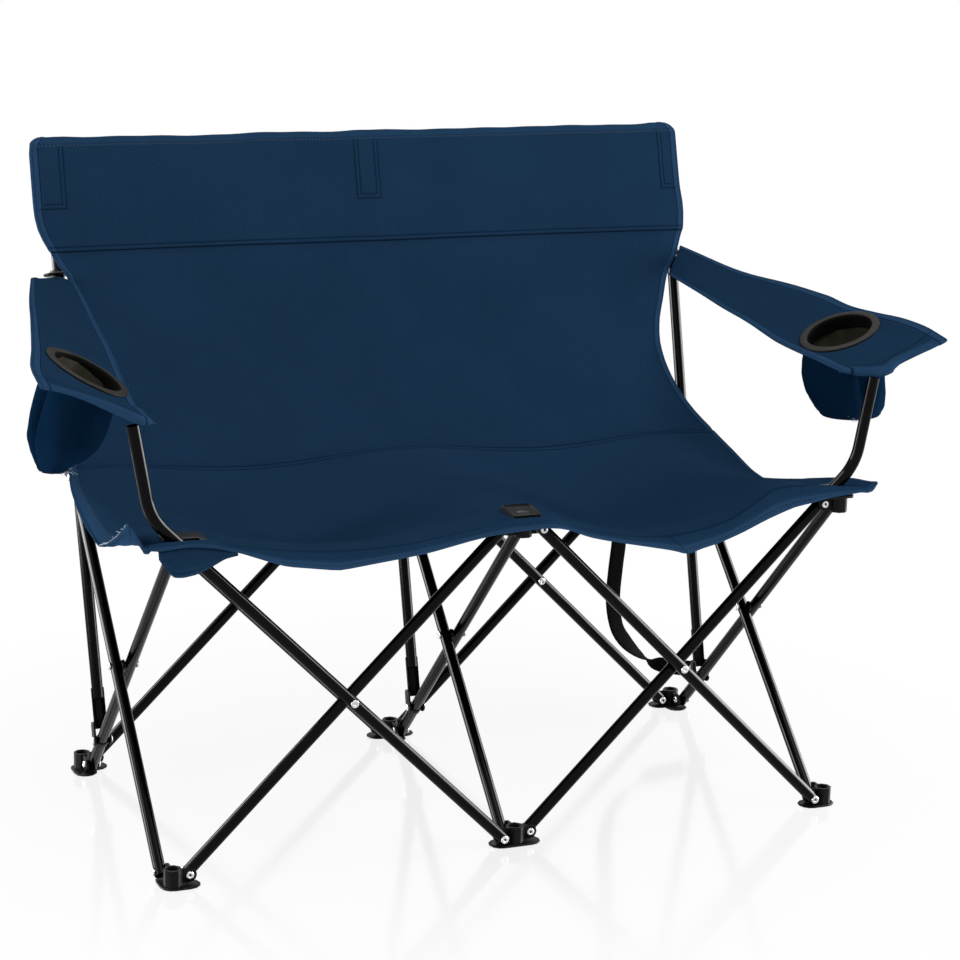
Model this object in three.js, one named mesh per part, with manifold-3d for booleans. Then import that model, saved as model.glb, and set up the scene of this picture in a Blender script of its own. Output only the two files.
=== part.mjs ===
// Folding camping loveseat: crossed steel tubes on plastic feet and hubs, with a cloth sling,
// two cloth armrests with cup rings, and three leaning rear posts.
// Millimetres, +Z up, the seat faces -Y, +X is to the right of someone looking at its front.
import * as THREE from 'three';
import { mergeVertices } from 'three/addons/utils/BufferGeometryUtils.js';
import Module from 'manifold-3d';

// Tube frame
const TUBE_D = 16;
const TUBE_WALL = 1.5;
const TUBE_PAST = 6; // tube beyond its end pivots
const GAP = 0.3; // between pieces that do not touch
const PLATE = 3.4; // foot and hub plates that part two tubes
const PANEL = 470; // one seat's width between foot centres
const PIVOT_IN = 22; // cross tube pivot from its foot centre
const PIVOT_BACK = 23.5; // side tube pivot from its foot centre
const PIVOT_Z = 14;
const RISE = 420; // foot pivot to hub pivot
const PIN_D = 5;
const PIN_PLAY = 0.05;
const PIN_SIDES = 6;
const HEAD_SIDES = 8;
const HEAD_D = 10;
const HEAD_T = 1.8;

// Feet and hubs
const SOLE_T = 3;
const SOLE_R = 15;
const SOLE_FLARE = 1.5;
const EAR_R = 9.5;
const SOCKET_R = 11; // octagonal socket of a foot or hub, to its flats
const SOCKET_BORE_R = 8;
const FOOT_H = 25;
const HUB_DROP = 12; // hub socket below its pivots
const FLANGE_LIFT = 10.8; // hub flange above its pivots
const FLANGE_T = 3.2;
const FLANGE_W = 60;
const FLANGE_L = 56;
const FLANGE_SHIFT = 17; // outer flanges sit this far towards the middle
const FLANGE_BACK = 6;
const CLAMP_T = 3;
const CLAMP_W = 52;
const CLAMP_L = 46;
const CORNER_R = 7;

// Rear posts
const POST_LEAN = 15.54; // degrees from upright
const POST_SPLAY = 1; // degrees, outer posts only
const POST_ALONG = 76; // rear post pivot along its side tube from the foot pivot
const POST_START = 59; // tube from the post pivot
const POST_TOP_Z = 880;
const CHEEK_T = 3;
const CHEEK_PLAY = 1.2;
const CHEEK_W = 17;
const CHEEK_LAP = 32; // cheeks up along the post tube
const LOOP_WALL = 3;
const LOOP_LONG = 38; // slot the post slides and tilts in
const LOOP_PLAY = 2.6;
const LOOP_OUT = 1.5; // outer slots allow for the splay of their posts
const LOOP_H = 20;

// Arm posts, which carry on from two of the cross tubes
const ARM_BEND_X = 499; // where the straight runs would meet
const ARM_BEND_R = 78;
const ARM_LEAN = 10.2; // degrees outward from upright
const ARM_TOP_Z = 600.4;
const ARM_TOP_STEP = 3.2; // the right post stands in the rear layer, where the armrest is higher

// Cloth
const CLOTH_T = 2.5;
const SEAT_EDGE = 22; // cloth in front of the front hubs
const SEAT_HEM = 17; // turned down front edge
const HEM_R = 4;
const SEAT_DIP_FRONT = 38; // hang between the hubs
const SEAT_DIP_MID = 26;
const SEAT_DIP_REAR = 13;
const SEAT_SAG = 14; // hang between front and rear hubs
const SEAT_EAR = 550; // half width at the front hubs
const SEAT_WAIST = 512;
const SEAT_DROP = 40; // side edge below the hub line
const SEAT_FOLD = 0.3; // fold line, from the rear crease, as a share of the depth
const CREASE_Z = 449;
const BACK_TOP_Z = 891;
const BACK_TOP_W = 502; // half widths
const BACK_BAND_Z = 738;
const BACK_BAND_W = 492;
const BACK_WAIST_Z = 575;
const BACK_WAIST_W = 443;
const BACK_LOW_W = 500;
const BACK_MID_X = 8;
const BACK_CURVE = 46; // lower back comes forward to the crease
const BACK_CURVE_Z = 650;
const BACK_BOW = 7;

// Armrests, right hand one; the left mirrors it
const ARM_OUTER = [
  [515, 554, 703],
  [540, 450, 690],
  [572, 300, 681],
  [605, 150, 670],
  [627, 50, 660],
  [629, 8, 647],
];
const ARM_INNER = [
  [455, 554, 690],
  [458, 450, 667],
  [469, 300, 641],
  [482, 150, 614],
  [491, 50, 601],
  [492, -26, 596],
];
const ARM_SPLIT = 0.42; // fold line of the armrest, as a share of its length from the rear
const ARM_SPLIT_GAP = 0.0007;
const CUP_X = 543;
const CUP_Y = 147;
const CUP_Z = 643;
const CUP_TILT_X = 0.44; // slope of the armrest at the cup
const CUP_TILT_Y = 0.1;
const RING_D = 115;
const RING_BORE = 93;
const RING_T = 3.5;
const SKIRT_T = 1.6;
const SKIRT_H = 18;
const CUP_WALL = 2;
const CUP_FLOOR_Z = 514;
const CUP_FLOOR_D = 96;
const CUP_WIDE_D = 112;
const CUP_SHIFT = 5; // the cup hangs this far outside its ring
const COLLAR_D = 43;
const COLLAR_T = 4;
const COLLAR_Z = 697;

// Carry strap
const STRAP_W = 20;
const STRAP_T = 1.6;
const STRAP_X = 352;
const STRAP_Y = 425;

const HALF_LAYER = (TUBE_D + PLATE) / 2 + GAP;
const TUBE_R = TUBE_D / 2;
const SPAN = PANEL - 2 * PIVOT_IN;
const DEPTH = SPAN + 2 * PIVOT_BACK;
const HUB_Z = PIVOT_Z + RISE;
const CLOTH_Z = HUB_Z + FLANGE_LIFT + FLANGE_T + GAP + CLOTH_T; // cloth top on the hubs
const AXES = { left: -PANEL, centre: 0, right: PANEL };
const X = new THREE.Vector3(1, 0, 0);
const Y = new THREE.Vector3(0, 1, 0);
const Z = new THREE.Vector3(0, 0, 1);
const at = (x, y, z) => new THREE.Vector3(x, y, z);
const lerp = THREE.MathUtils.lerp;
const rad = THREE.MathUtils.degToRad;

const wasm = await Module();
wasm.setup();

// Closed geometry as a solid, welded on position alone.
function toSolid(geometry) {
  const bare = new THREE.BufferGeometry();
  bare.setAttribute('position', geometry.getAttribute('position').clone());
  if (geometry.index) bare.setIndex(geometry.index.clone());
  const welded = mergeVertices(bare, 1e-4);
  const corners = welded.index.array;
  const kept = [];
  for (let i = 0; i < corners.length; i += 3) {
    const [a, b, c] = corners.slice(i, i + 3);
    if (a !== b && b !== c && c !== a) kept.push(a, b, c);
  }
  return new wasm.Manifold(new wasm.Mesh({
    numProp: 3,
    vertProperties: new Float32Array(welded.getAttribute('position').array),
    triVerts: new Uint32Array(kept),
  }));
}

function fromSolid(solid) {
  const mesh = solid.getMesh();
  const geometry = new THREE.BufferGeometry();
  geometry.setAttribute('position', new THREE.BufferAttribute(mesh.vertProperties, 3));
  geometry.setIndex(new THREE.BufferAttribute(mesh.triVerts, 1));
  geometry.computeVertexNormals();
  return geometry;
}

function join(...geometries) {
  return fromSolid(geometries.map(toSolid).reduce((sum, next) => sum.add(next)));
}

function cut(geometry, ...tools) {
  return fromSolid(tools.map(toSolid).reduce((rest, tool) => rest.subtract(tool), toSolid(geometry)));
}

// Cylinder centred on a point, along a direction.
function rod(radius, length, centre, axis, sides) {
  const turn = new THREE.Quaternion().setFromUnitVectors(Y, axis);
  const geometry = new THREE.CylinderGeometry(radius, radius, length, sides);
  return geometry.applyQuaternion(turn).translate(centre.x, centre.y, centre.z);
}

// Rod between two points.
function rodBetween(radius, from, to, sides) {
  const along = to.clone().sub(from);
  const middle = from.clone().add(to).multiplyScalar(0.5);
  return rod(radius, along.length(), middle, along.clone().normalize(), sides);
}

function box(x0, x1, y0, y1, z0, z1) {
  const geometry = new THREE.BoxGeometry(x1 - x0, y1 - y0, z1 - z0);
  return geometry.translate((x0 + x1) / 2, (y0 + y1) / 2, (z0 + z1) / 2);
}

function roundedPlate(width, length, radius, thick, centre) {
  const w = width / 2;
  const l = length / 2;
  const shape = new THREE.Shape();
  shape.absarc(w - radius, l - radius, radius, 0, Math.PI / 2);
  shape.absarc(-w + radius, l - radius, radius, Math.PI / 2, Math.PI);
  shape.absarc(-w + radius, -l + radius, radius, Math.PI, 1.5 * Math.PI);
  shape.absarc(w - radius, -l + radius, radius, 1.5 * Math.PI, 2 * Math.PI);
  const plate = new THREE.ExtrudeGeometry(shape, { depth: thick, bevelEnabled: false, curveSegments: 2 });
  return plate.translate(centre.x, centre.y, centre.z);
}

// Plate with one round end: starts at the origin, runs along +X, lies in the XZ plane.
function earPlate(reach, radius, thick) {
  const shape = new THREE.Shape();
  shape.moveTo(0, -radius);
  shape.lineTo(reach, -radius);
  shape.absarc(reach, 0, radius, -Math.PI / 2, Math.PI / 2);
  shape.lineTo(0, radius);
  const plate = new THREE.ExtrudeGeometry(shape, { depth: thick, bevelEnabled: false, curveSegments: 3 });
  return plate.translate(0, 0, -thick / 2).rotateX(Math.PI / 2);
}

// Octagonal prism with its flats facing the sides.
function octagon(flatRadius, z0, z1, x, y) {
  const radius = flatRadius / Math.cos(Math.PI / 8);
  const prism = new THREE.CylinderGeometry(radius, radius, z1 - z0, 8);
  return prism.rotateX(Math.PI / 2).rotateZ(Math.PI / 8).translate(x, y, (z0 + z1) / 2);
}

// Pin from a plate through a tube beside it, with a head on the far side and one on the plate.
function pin(centre, axis, side) {
  const far = side * (HALF_LAYER + TUBE_R + GAP + HEAD_T / 2);
  const near = -side * (PLATE / 2 + HEAD_T / 2 - 0.01);
  const on = (d) => centre.clone().addScaledVector(axis, d);
  return [
    rodBetween(PIN_D / 2, on(0), on(far), PIN_SIDES),
    rod(HEAD_D / 2, HEAD_T, on(far), axis, HEAD_SIDES),
    rod(HEAD_D / 2, HEAD_T, on(near), axis, HEAD_SIDES),
  ];
}

// Hole a pin can turn in, through the middle of a tube.
function pinHole(centre, axis) {
  const radius = (PIN_D / 2 + PIN_PLAY) / Math.cos(Math.PI / PIN_SIDES);
  return rod(radius, TUBE_D + 4, centre, axis, PIN_SIDES);
}

function tubeSection() {
  const shape = new THREE.Shape();
  shape.absarc(0, 0, TUBE_R, 0, 2 * Math.PI);
  const bore = new THREE.Path();
  bore.absarc(0, 0, TUBE_R - TUBE_WALL, 0, 2 * Math.PI, true);
  shape.holes.push(bore);
  return shape;
}

function tubeAlong(path, steps) {
  const options = { steps, extrudePath: path, bevelEnabled: false, curveSegments: 5 };
  return new THREE.ExtrudeGeometry(tubeSection(), options);
}

function straightTube(from, to, before, after) {
  const along = to.clone().sub(from).normalize();
  const start = from.clone().addScaledVector(along, -before);
  const end = to.clone().addScaledVector(along, after);
  return tubeAlong(new THREE.LineCurve3(start, end), 1);
}

// Straight run, round bend, straight run; one step for each run and the rest for the bend.
const BEND_STEPS = 6;
class BentPath extends THREE.Curve {
  constructor(start, corner, end, radius) {
    super();
    this.into = corner.clone().sub(start).normalize();
    this.out = end.clone().sub(corner).normalize();
    this.turn = this.into.angleTo(this.out);
    const trim = radius * Math.tan(this.turn / 2);
    this.start = start;
    this.end = end;
    this.first = corner.clone().addScaledVector(this.into, -trim);
    this.last = corner.clone().addScaledVector(this.out, trim);
    const side = this.out.clone().addScaledVector(this.into, -this.into.dot(this.out)).normalize();
    this.middle = this.first.clone().addScaledVector(side, radius);
    this.side = side;
    this.radius = radius;
  }

  getPoint(t, target = new THREE.Vector3()) {
    const step = t * (BEND_STEPS + 2);
    if (step <= 1) return target.lerpVectors(this.start, this.first, step);
    if (step >= BEND_STEPS + 1) return target.lerpVectors(this.last, this.end, step - BEND_STEPS - 1);
    const angle = (this.turn * (step - 1)) / BEND_STEPS;
    target.copy(this.middle).addScaledVector(this.side, -this.radius * Math.cos(angle));
    return target.addScaledVector(this.into, this.radius * Math.sin(angle));
  }

  getUtoTmapping(u) {
    return u;
  }
}

// Closed sheet under a grid of points: rows of points, each row the same length.
function sheet(rows, thick) {
  const n = rows.length;
  const m = rows[0].length;
  const top = [];
  const under = [];
  for (let i = 0; i < n; i += 1) {
    for (let j = 0; j < m; j += 1) {
      const down = rows[Math.min(i + 1, n - 1)][j].clone().sub(rows[Math.max(i - 1, 0)][j]);
      const across = rows[i][Math.min(j + 1, m - 1)].clone().sub(rows[i][Math.max(j - 1, 0)]);
      const normal = across.cross(down).normalize();
      top.push(rows[i][j]);
      under.push(rows[i][j].clone().addScaledVector(normal, -thick));
    }
  }
  const index = [];
  const half = n * m;
  const quad = (a, b, c, d) => index.push(a, b, c, a, c, d);
  for (let i = 0; i < n - 1; i += 1) {
    for (let j = 0; j < m - 1; j += 1) {
      const a = i * m + j;
      quad(a, a + 1, a + m + 1, a + m);
      quad(half + a, half + a + m, half + a + m + 1, half + a + 1);
    }
    const left = i * m;
    const right = left + m - 1;
    quad(left, left + m, half + left + m, half + left);
    quad(right + m, right, half + right, half + right + m);
  }
  for (let j = 0; j < m - 1; j += 1) {
    const last = (n - 1) * m + j;
    quad(j + 1, j, half + j, half + j + 1);
    quad(last, last + 1, half + last + 1, half + last);
  }
  const geometry = new THREE.BufferGeometry();
  const places = [...top, ...under].flatMap((p) => [...p]);
  geometry.setAttribute('position', new THREE.Float32BufferAttribute(places, 3));
  geometry.setIndex(index);
  geometry.computeVertexNormals();
  return geometry;
}

const chair = new THREE.Group();
chair.name = 'folding_camping_loveseat';

function add(name, geometry, colour, metalness, roughness) {
  const material = new THREE.MeshStandardMaterial({ color: colour, metalness, roughness });
  material.name = name + '_material';
  const mesh = new THREE.Mesh(geometry, material);
  mesh.name = name;
  chair.add(mesh);
}

const addSteel = (name, geometry) => add(name, geometry, 0x15171a, 0.7, 0.3);
const addPlastic = (name, geometry) => add(name, geometry, 0x101113, 0, 0.5);
const addCloth = (name, geometry) => add(name, geometry, 0x1b324a, 0, 0.9);
const addRivet = (name, geometry) => add(name, geometry, 0xb8bcc0, 0.9, 0.3);

// Feet and hubs share the plates that stand between the tube layers.
// Each takes a cross tube to its left or right and one side tube in front of it or behind it.
function plates(x, y, z, sides, fin) {
  const pieces = [];
  for (const { side, layer } of sides) {
    const ear = earPlate(PIVOT_IN, EAR_R, PLATE);
    if (side < 0) ear.rotateZ(Math.PI);
    pieces.push(ear.translate(x, y, z));
    pieces.push(...pin(at(x + side * PIVOT_IN, y, z), Y, layer));
  }
  const finPlate = earPlate(PIVOT_BACK, EAR_R, PLATE).rotateZ((fin.side * Math.PI) / 2);
  pieces.push(finPlate.translate(x, y, z));
  pieces.push(...pin(at(x, y + fin.side * PIVOT_BACK, z), X, fin.layer));
  return pieces;
}

function solePlate(reachX, reachY) {
  const shape = new THREE.Shape();
  const long = Math.abs(reachX + reachY);
  shape.absarc(0, 0, SOLE_R, Math.PI / 2, 1.5 * Math.PI);
  shape.absarc(long, 0, SOLE_R, -Math.PI / 2, Math.PI / 2);
  const bevel = { bevelThickness: SOLE_T / 2, bevelSize: SOLE_FLARE, bevelSegments: 1 };
  const plate = new THREE.ExtrudeGeometry(shape, { depth: SOLE_T / 2, curveSegments: 3, ...bevel });
  plate.translate(0, 0, SOLE_T / 2).scale(1, 1, SOLE_T / (1.5 * SOLE_T));
  return plate.rotateZ(Math.atan2(reachY, reachX));
}

function foot(x, y, sides, fin) {
  const soles = sides.map(({ side }) => solePlate(side * PIVOT_IN * 0.9, 0).translate(x, y, 0));
  soles.push(solePlate(0, fin.side * PIVOT_BACK * 0.9).translate(x, y, 0));
  const body = join(...soles, octagon(SOCKET_R, 0.5, FOOT_H, x, y), ...plates(x, y, PIVOT_Z, sides, fin));
  const floor = box(x - PANEL / 2, x + PANEL / 2, y - PANEL / 2, y + PANEL / 2, -FOOT_H, 0);
  return cut(body, octagon(SOCKET_BORE_R, SOLE_T, FOOT_H + 1, x, y), floor);
}

function frontHub(x, sides, fin, outer) {
  const socket = octagon(SOCKET_R, HUB_Z - HUB_DROP, HUB_Z + FLANGE_LIFT + 0.5, x, 0);
  const base = at(x - outer * FLANGE_SHIFT, FLANGE_BACK, HUB_Z + FLANGE_LIFT);
  const flange = roundedPlate(FLANGE_W, FLANGE_L, CORNER_R, FLANGE_T, base);
  const stem = box(x - PLATE / 2, x + PLATE / 2, 0, PIVOT_BACK, HUB_Z, HUB_Z + FLANGE_LIFT + 0.5);
  const body = join(socket, flange, stem, ...plates(x, 0, HUB_Z, sides, fin));
  const bore = octagon(SOCKET_BORE_R, HUB_Z - HUB_DROP - 1, HUB_Z + FLANGE_LIFT - 2, x, 0);
  const way = outer === 0 ? [] : [armPostTool(outer, GAP * 0.9)];
  return cut(body, bore, ...way, ...armSlot(x, outer));
}

// Cross tubes of the front and rear, named as seen from the front, left to right.
const CROSS = {
  a: [-PANEL, 1, 1],
  b: [0, -1, -1],
  c: [0, 1, 1],
  d: [PANEL, -1, -1],
};
function crossTube(y, footX, footSide, layer) {
  const from = at(footX + footSide * PIVOT_IN, y + layer * HALF_LAYER, PIVOT_Z);
  const to = from.clone().add(at(footSide * SPAN, 0, RISE));
  return { from, to, middle: from.clone().add(to).multiplyScalar(0.5) };
}

// Room for the straight run of an arm post past its hub pivot.
function armPostTool(side, play) {
  const { from, to } = crossTube(0, ...(side < 0 ? CROSS.b : CROSS.c));
  const up = to.clone().sub(from).normalize();
  const start = to.clone().addScaledVector(up, PIN_D * 1.3);
  const radius = (TUBE_R + play) / Math.cos(Math.PI / 12);
  return rodBetween(radius, start, to.clone().addScaledVector(up, PANEL / 4), 12);
}

// Slot in a hub's flange and clamp plate that lets the arm post swing as the frame folds.
function armSlot(x, outer) {
  if (outer === 0) return [];
  const pivot = x - outer * PIVOT_IN;
  const y = outer * HALF_LAYER;
  const top = CLOTH_Z + GAP + CLAMP_T + 1;
  const half = (TUBE_R * Math.hypot(SPAN, RISE)) / RISE + 4 * GAP;
  const far = ((top - HUB_Z) * SPAN) / RISE + half;
  const span = [pivot - outer * half, pivot + outer * far].sort((a, b) => a - b);
  return [box(span[0], span[1], y - TUBE_R - GAP, y + TUBE_R + GAP, HUB_Z + FLANGE_LIFT - 0.01, top)];
}

function postLine(name) {
  const side = Math.sign(AXES[name]);
  const foot = at(AXES[name] + HALF_LAYER, DEPTH - PIVOT_BACK, PIVOT_Z);
  const up = at(0, -SPAN, RISE).normalize();
  const pivot = foot.addScaledVector(up, POST_ALONG);
  const along = at(side * Math.tan(rad(POST_SPLAY)), Math.tan(rad(POST_LEAN)), 1).normalize();
  return { pivot, along };
}

// Point on a post's middle line at a height.
function postAt(name, z) {
  const { pivot, along } = postLine(name);
  return pivot.clone().addScaledVector(along, (z - pivot.z) / along.z);
}

// Upright prism with round ends, long in Y.
function slotPrism(radius, stretch, centre, z0, z1) {
  const shape = new THREE.Shape();
  shape.absarc(0, stretch, radius, 0, Math.PI);
  shape.absarc(0, -stretch, radius, Math.PI, 2 * Math.PI);
  const prism = new THREE.ExtrudeGeometry(shape, { depth: z1 - z0, bevelEnabled: false, curveSegments: 4 });
  return prism.translate(centre.x, centre.y, z0);
}

// A rear hub has a slotted loop behind it that slides up its post as the frame folds.
function rearHub(name, sides, fin) {
  const x = AXES[name];
  const socket = octagon(SOCKET_R, HUB_Z - HUB_DROP, HUB_Z + EAR_R - 1, x, DEPTH);
  const post = postAt(name, HUB_Z);
  post.x += Math.sign(x) * LOOP_OUT;
  const stretch = (LOOP_LONG - TUBE_D) / 2;
  const inner = TUBE_R + LOOP_PLAY;
  const outer = inner + LOOP_WALL;
  const loop = slotPrism(outer, stretch, post, HUB_Z - LOOP_H / 2, HUB_Z + LOOP_H / 2);
  const low = HUB_Z - EAR_R;
  const high = HUB_Z + EAR_R;
  const reach = post.x < x ? [post.x - outer, x] : [x, post.x + outer];
  const link = box(reach[0], reach[1], DEPTH - PLATE / 2, DEPTH + PLATE / 2, low, high);
  const web = box(post.x - inner, post.x + inner, DEPTH, post.y - stretch, low, high);
  const body = join(socket, link, web, loop, ...plates(x, DEPTH, HUB_Z, sides, fin));
  const bore = octagon(SOCKET_BORE_R, HUB_Z - HUB_DROP - 1, HUB_Z + EAR_R - 4, x, DEPTH);
  return cut(body, bore, slotPrism(inner, stretch, post, HUB_Z - 2 * HUB_DROP, HUB_Z + 2 * HUB_DROP));
}

const toLeft = { side: -1, layer: -1 };
const toRight = { side: 1, layer: 1 };
const fromRight = { side: 1, layer: -1 };
const fromLeft = { side: -1, layer: 1 };
const FOOT_SIDES = { left: [toRight], centre: [toLeft, toRight], right: [toLeft] };
const HUB_SIDES = { left: [fromRight], centre: [fromLeft, fromRight], right: [fromLeft] };

for (const name of Object.keys(AXES)) {
  const x = AXES[name];
  const outer = Math.sign(x);
  addPlastic('foot_front_' + name, foot(x, 0, FOOT_SIDES[name], { side: 1, layer: -1 }));
  addPlastic('foot_rear_' + name, foot(x, DEPTH, FOOT_SIDES[name], { side: -1, layer: 1 }));
  addPlastic('hub_front_' + name, frontHub(x, HUB_SIDES[name], { side: 1, layer: 1 }, outer));
  addPlastic('hub_rear_' + name, rearHub(name, HUB_SIDES[name], { side: -1, layer: -1 }));
  const base = at(x - outer * FLANGE_SHIFT, FLANGE_BACK, CLOTH_Z + GAP);
  const clamp = roundedPlate(CLAMP_W, CLAMP_L, CORNER_R - 2, CLAMP_T, base);
  const recess = rod(CLAMP_W / 5, CLAMP_T, at(base.x, base.y, base.z + CLAMP_T * 1.1), Z, 12);
  recess.translate(-base.x, -base.y, 0).scale(1, 0.7, 1).translate(base.x, base.y, 0);
  const cuts = outer === 0 ? [recess] : armSlot(x, outer);
  addPlastic('clamp_plate_' + name, cut(clamp, ...cuts));
}

// Cross tube that bends up beyond its hub to carry an armrest.
function armTube({ from, to }, side) {
  const up = to.clone().sub(from).normalize();
  const start = from.clone().addScaledVector(up, -TUBE_PAST);
  const corner = from.clone().addScaledVector(up, (ARM_BEND_X - Math.abs(from.x)) / Math.abs(up.x));
  const rise = ARM_TOP_Z + (side > 0 ? ARM_TOP_STEP : 0) - corner.z;
  const end = corner.clone().add(at(side * rise * Math.tan(rad(ARM_LEAN)), 0, rise));
  return tubeAlong(new BentPath(start, corner, end, ARM_BEND_R), BEND_STEPS + 2);
}

for (const [place, y] of [['front', 0], ['rear', DEPTH]]) {
  for (const [letter, [footX, footSide, layer]] of Object.entries(CROSS)) {
    const line = crossTube(y, footX, footSide, layer);
    const holes = [line.from, line.middle, line.to].map((p) => pinHole(p, Y));
    const armed = place === 'front' && (letter === 'b' || letter === 'c');
    const tube = armed ? armTube(line, footSide) : straightTube(line.from, line.to, TUBE_PAST, TUBE_PAST);
    addSteel('tube_' + place + '_' + letter, cut(tube, ...holes));
  }
}

// Side tubes: one rises to the rear hub, the other to the front hub.
function sideTubes(name) {
  const x = AXES[name];
  const near = PIVOT_BACK;
  const far = DEPTH - PIVOT_BACK;
  return {
    back: { from: at(x - HALF_LAYER, near, PIVOT_Z), to: at(x - HALF_LAYER, far, HUB_Z) },
    fore: { from: at(x + HALF_LAYER, far, PIVOT_Z), to: at(x + HALF_LAYER, near, HUB_Z) },
  };
}
for (const name of Object.keys(AXES)) {
  const lines = sideTubes(name);
  for (const lean of ['back', 'fore']) {
    const { from, to } = lines[lean];
    const middle = from.clone().add(to).multiplyScalar(0.5);
    const holes = [from, middle, to].map((p) => pinHole(p, X));
    if (lean === 'fore') holes.push(pinHole(postLine(name).pivot, X));
    const tube = straightTube(from, to, TUBE_PAST, TUBE_PAST);
    addSteel('tube_side_' + lean + '_' + name, cut(tube, ...holes));
  }
}

// Rivets where two tubes cross, each with a spacer between the tubes.
function crossRivet(centre, axis) {
  const head = HALF_LAYER + TUBE_R + GAP;
  const spacer = HALF_LAYER - TUBE_R - GAP;
  const profile = [
    [0, -head - HEAD_T],
    [HEAD_D / 2 - 0.8, -head - HEAD_T],
    [HEAD_D / 2, -head],
    [PIN_D / 2, -head],
    [PIN_D / 2, -spacer],
    [HEAD_D / 2 + 2, -spacer],
    [HEAD_D / 2 + 2, spacer],
    [PIN_D / 2, spacer],
    [PIN_D / 2, head],
    [HEAD_D / 2, head],
    [HEAD_D / 2 - 0.8, head + HEAD_T],
    [0, head + HEAD_T],
  ].map(([r, h]) => new THREE.Vector2(r, h));
  const rivet = new THREE.LatheGeometry(profile, PIN_SIDES);
  const turn = new THREE.Quaternion().setFromUnitVectors(Y, axis);
  rivet.applyQuaternion(turn).translate(centre.x, centre.y, centre.z);
  return fromSolid(toSolid(rivet));
}
for (const [place, y] of [['front', 0], ['rear', DEPTH]]) {
  for (const [side, x] of [['left', -PANEL / 2], ['right', PANEL / 2]]) {
    addRivet('rivet_' + place + '_' + side, crossRivet(at(x, y, PIVOT_Z + RISE / 2), Y));
  }
}
for (const name of Object.keys(AXES)) {
  addRivet('rivet_side_' + name, crossRivet(at(AXES[name], DEPTH / 2, PIVOT_Z + RISE / 2), X));
}

// Rear posts in fork shoes that straddle the side tubes.
function shoe(name) {
  const { pivot } = postLine(name);
  const reach = POST_START + CHEEK_LAP;
  const inside = TUBE_R + CHEEK_PLAY;
  const pieces = [];
  for (const side of [-1, 1]) {
    const cheek = earPlate(reach, CHEEK_W / 2, CHEEK_T).rotateY(Math.PI).translate(reach, 0, 0);
    pieces.push(cheek.translate(0, side * (inside + CHEEK_T / 2), 0));
    pieces.push(rod(HEAD_D / 2, HEAD_T, at(0, side * (inside + CHEEK_T + HEAD_T / 2 - 0.01), 0), Y, 12));
  }
  const wide = inside + CHEEK_T;
  pieces.push(box(POST_START / 3, reach, -wide, wide, -inside - CHEEK_T, -inside));
  pieces.push(box(POST_START / 3, reach, -wide, -inside, -inside - CHEEK_T, 0));
  pieces.push(box(POST_START / 3, reach, inside, wide, -inside - CHEEK_T, 0));
  const fork = aim(join(...pieces), name).translate(pivot.x, pivot.y, pivot.z);
  return join(fork, rod(PIN_D / 2, 2 * wide, pivot, X, PIN_SIDES));
}

// Turns a piece made along +X, broad side to +Y, to run up a post.
function aim(geometry, name) {
  const { along } = postLine(name);
  const across = at(-1, 0, 0).addScaledVector(along, along.x).normalize();
  const front = along.clone().cross(across);
  return geometry.applyMatrix4(new THREE.Matrix4().makeBasis(along, across, front));
}

function post(name) {
  const { pivot, along } = postLine(name);
  const start = pivot.clone().addScaledVector(along, POST_START);
  return straightTube(start, postAt(name, POST_TOP_Z), 0, 0);
}

function collar(name) {
  const { along } = postLine(name);
  const bore = TUBE_R + GAP;
  const rim = COLLAR_D / 2;
  const profile = [
    [bore, 0],
    [rim - 1, 0],
    [rim, COLLAR_T / 2],
    [rim - 3, COLLAR_T],
    [bore, COLLAR_T],
    [bore, 0],
  ].map(([r, h]) => new THREE.Vector2(r, h));
  const disc = new THREE.LatheGeometry(profile, 20);
  const centre = postAt(name, COLLAR_Z);
  const turn = new THREE.Quaternion().setFromUnitVectors(Y, along);
  disc.applyQuaternion(turn).translate(centre.x, centre.y, centre.z);
  return fromSolid(toSolid(disc));
}

// Notch in the cloth edge beside a collar.
function collarRoom(name) {
  const centre = postAt(name, COLLAR_Z + COLLAR_T / 2);
  return rod(COLLAR_D / 2 + 4 * GAP, COLLAR_T * 2, centre, postLine(name).along, 20);
}

for (const name of Object.keys(AXES)) {
  addPlastic('post_shoe_' + name, shoe(name));
  addSteel('rear_post_' + name, post(name));
  if (name !== 'centre') addPlastic('post_collar_' + name, collar(name));
}

// Cloth hanging between supports at both ends of a share from 0 to 1.
const hang = (share) => 4 * share * (1 - share);
const between = (value, low, high) => Math.min(Math.max((value - low) / (high - low), 0), 1);
const easy = (share) => share * share * (3 - 2 * share);

// Back cloth: front face of the back at a height, before its bow.
function backY(z) {
  const post = postAt('centre', z);
  const forward = BACK_CURVE * between(z, BACK_CURVE_Z, CREASE_Z) ** 2;
  return post.y - (TUBE_R + GAP) / Math.cos(rad(POST_LEAN)) - GAP - CLOTH_T - forward;
}

function backHalf(z) {
  const marks = [
    [CREASE_Z, BACK_LOW_W],
    [lerp(CREASE_Z, BACK_WAIST_Z, 0.55), lerp(BACK_WAIST_W, BACK_LOW_W, 0.1)],
    [BACK_WAIST_Z, BACK_WAIST_W],
    [BACK_BAND_Z, BACK_BAND_W],
    [BACK_TOP_Z, BACK_TOP_W],
  ].map(([height, half]) => new THREE.Vector2(height, half));
  const next = marks.findIndex((mark) => mark.x >= z);
  if (next <= 0) return next === 0 ? BACK_LOW_W : BACK_TOP_W;
  const below = marks[next - 1];
  const above = marks[next];
  return lerp(below.y, above.y, (z - below.x) / (above.x - below.x));
}

// Share of the way across one bay between two posts; 0 on a post.
function backBow(x) {
  const bay = (x - BACK_MID_X) / PANEL;
  return Math.abs(bay) >= 1 ? 0 : hang(Math.abs(bay));
}

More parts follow.
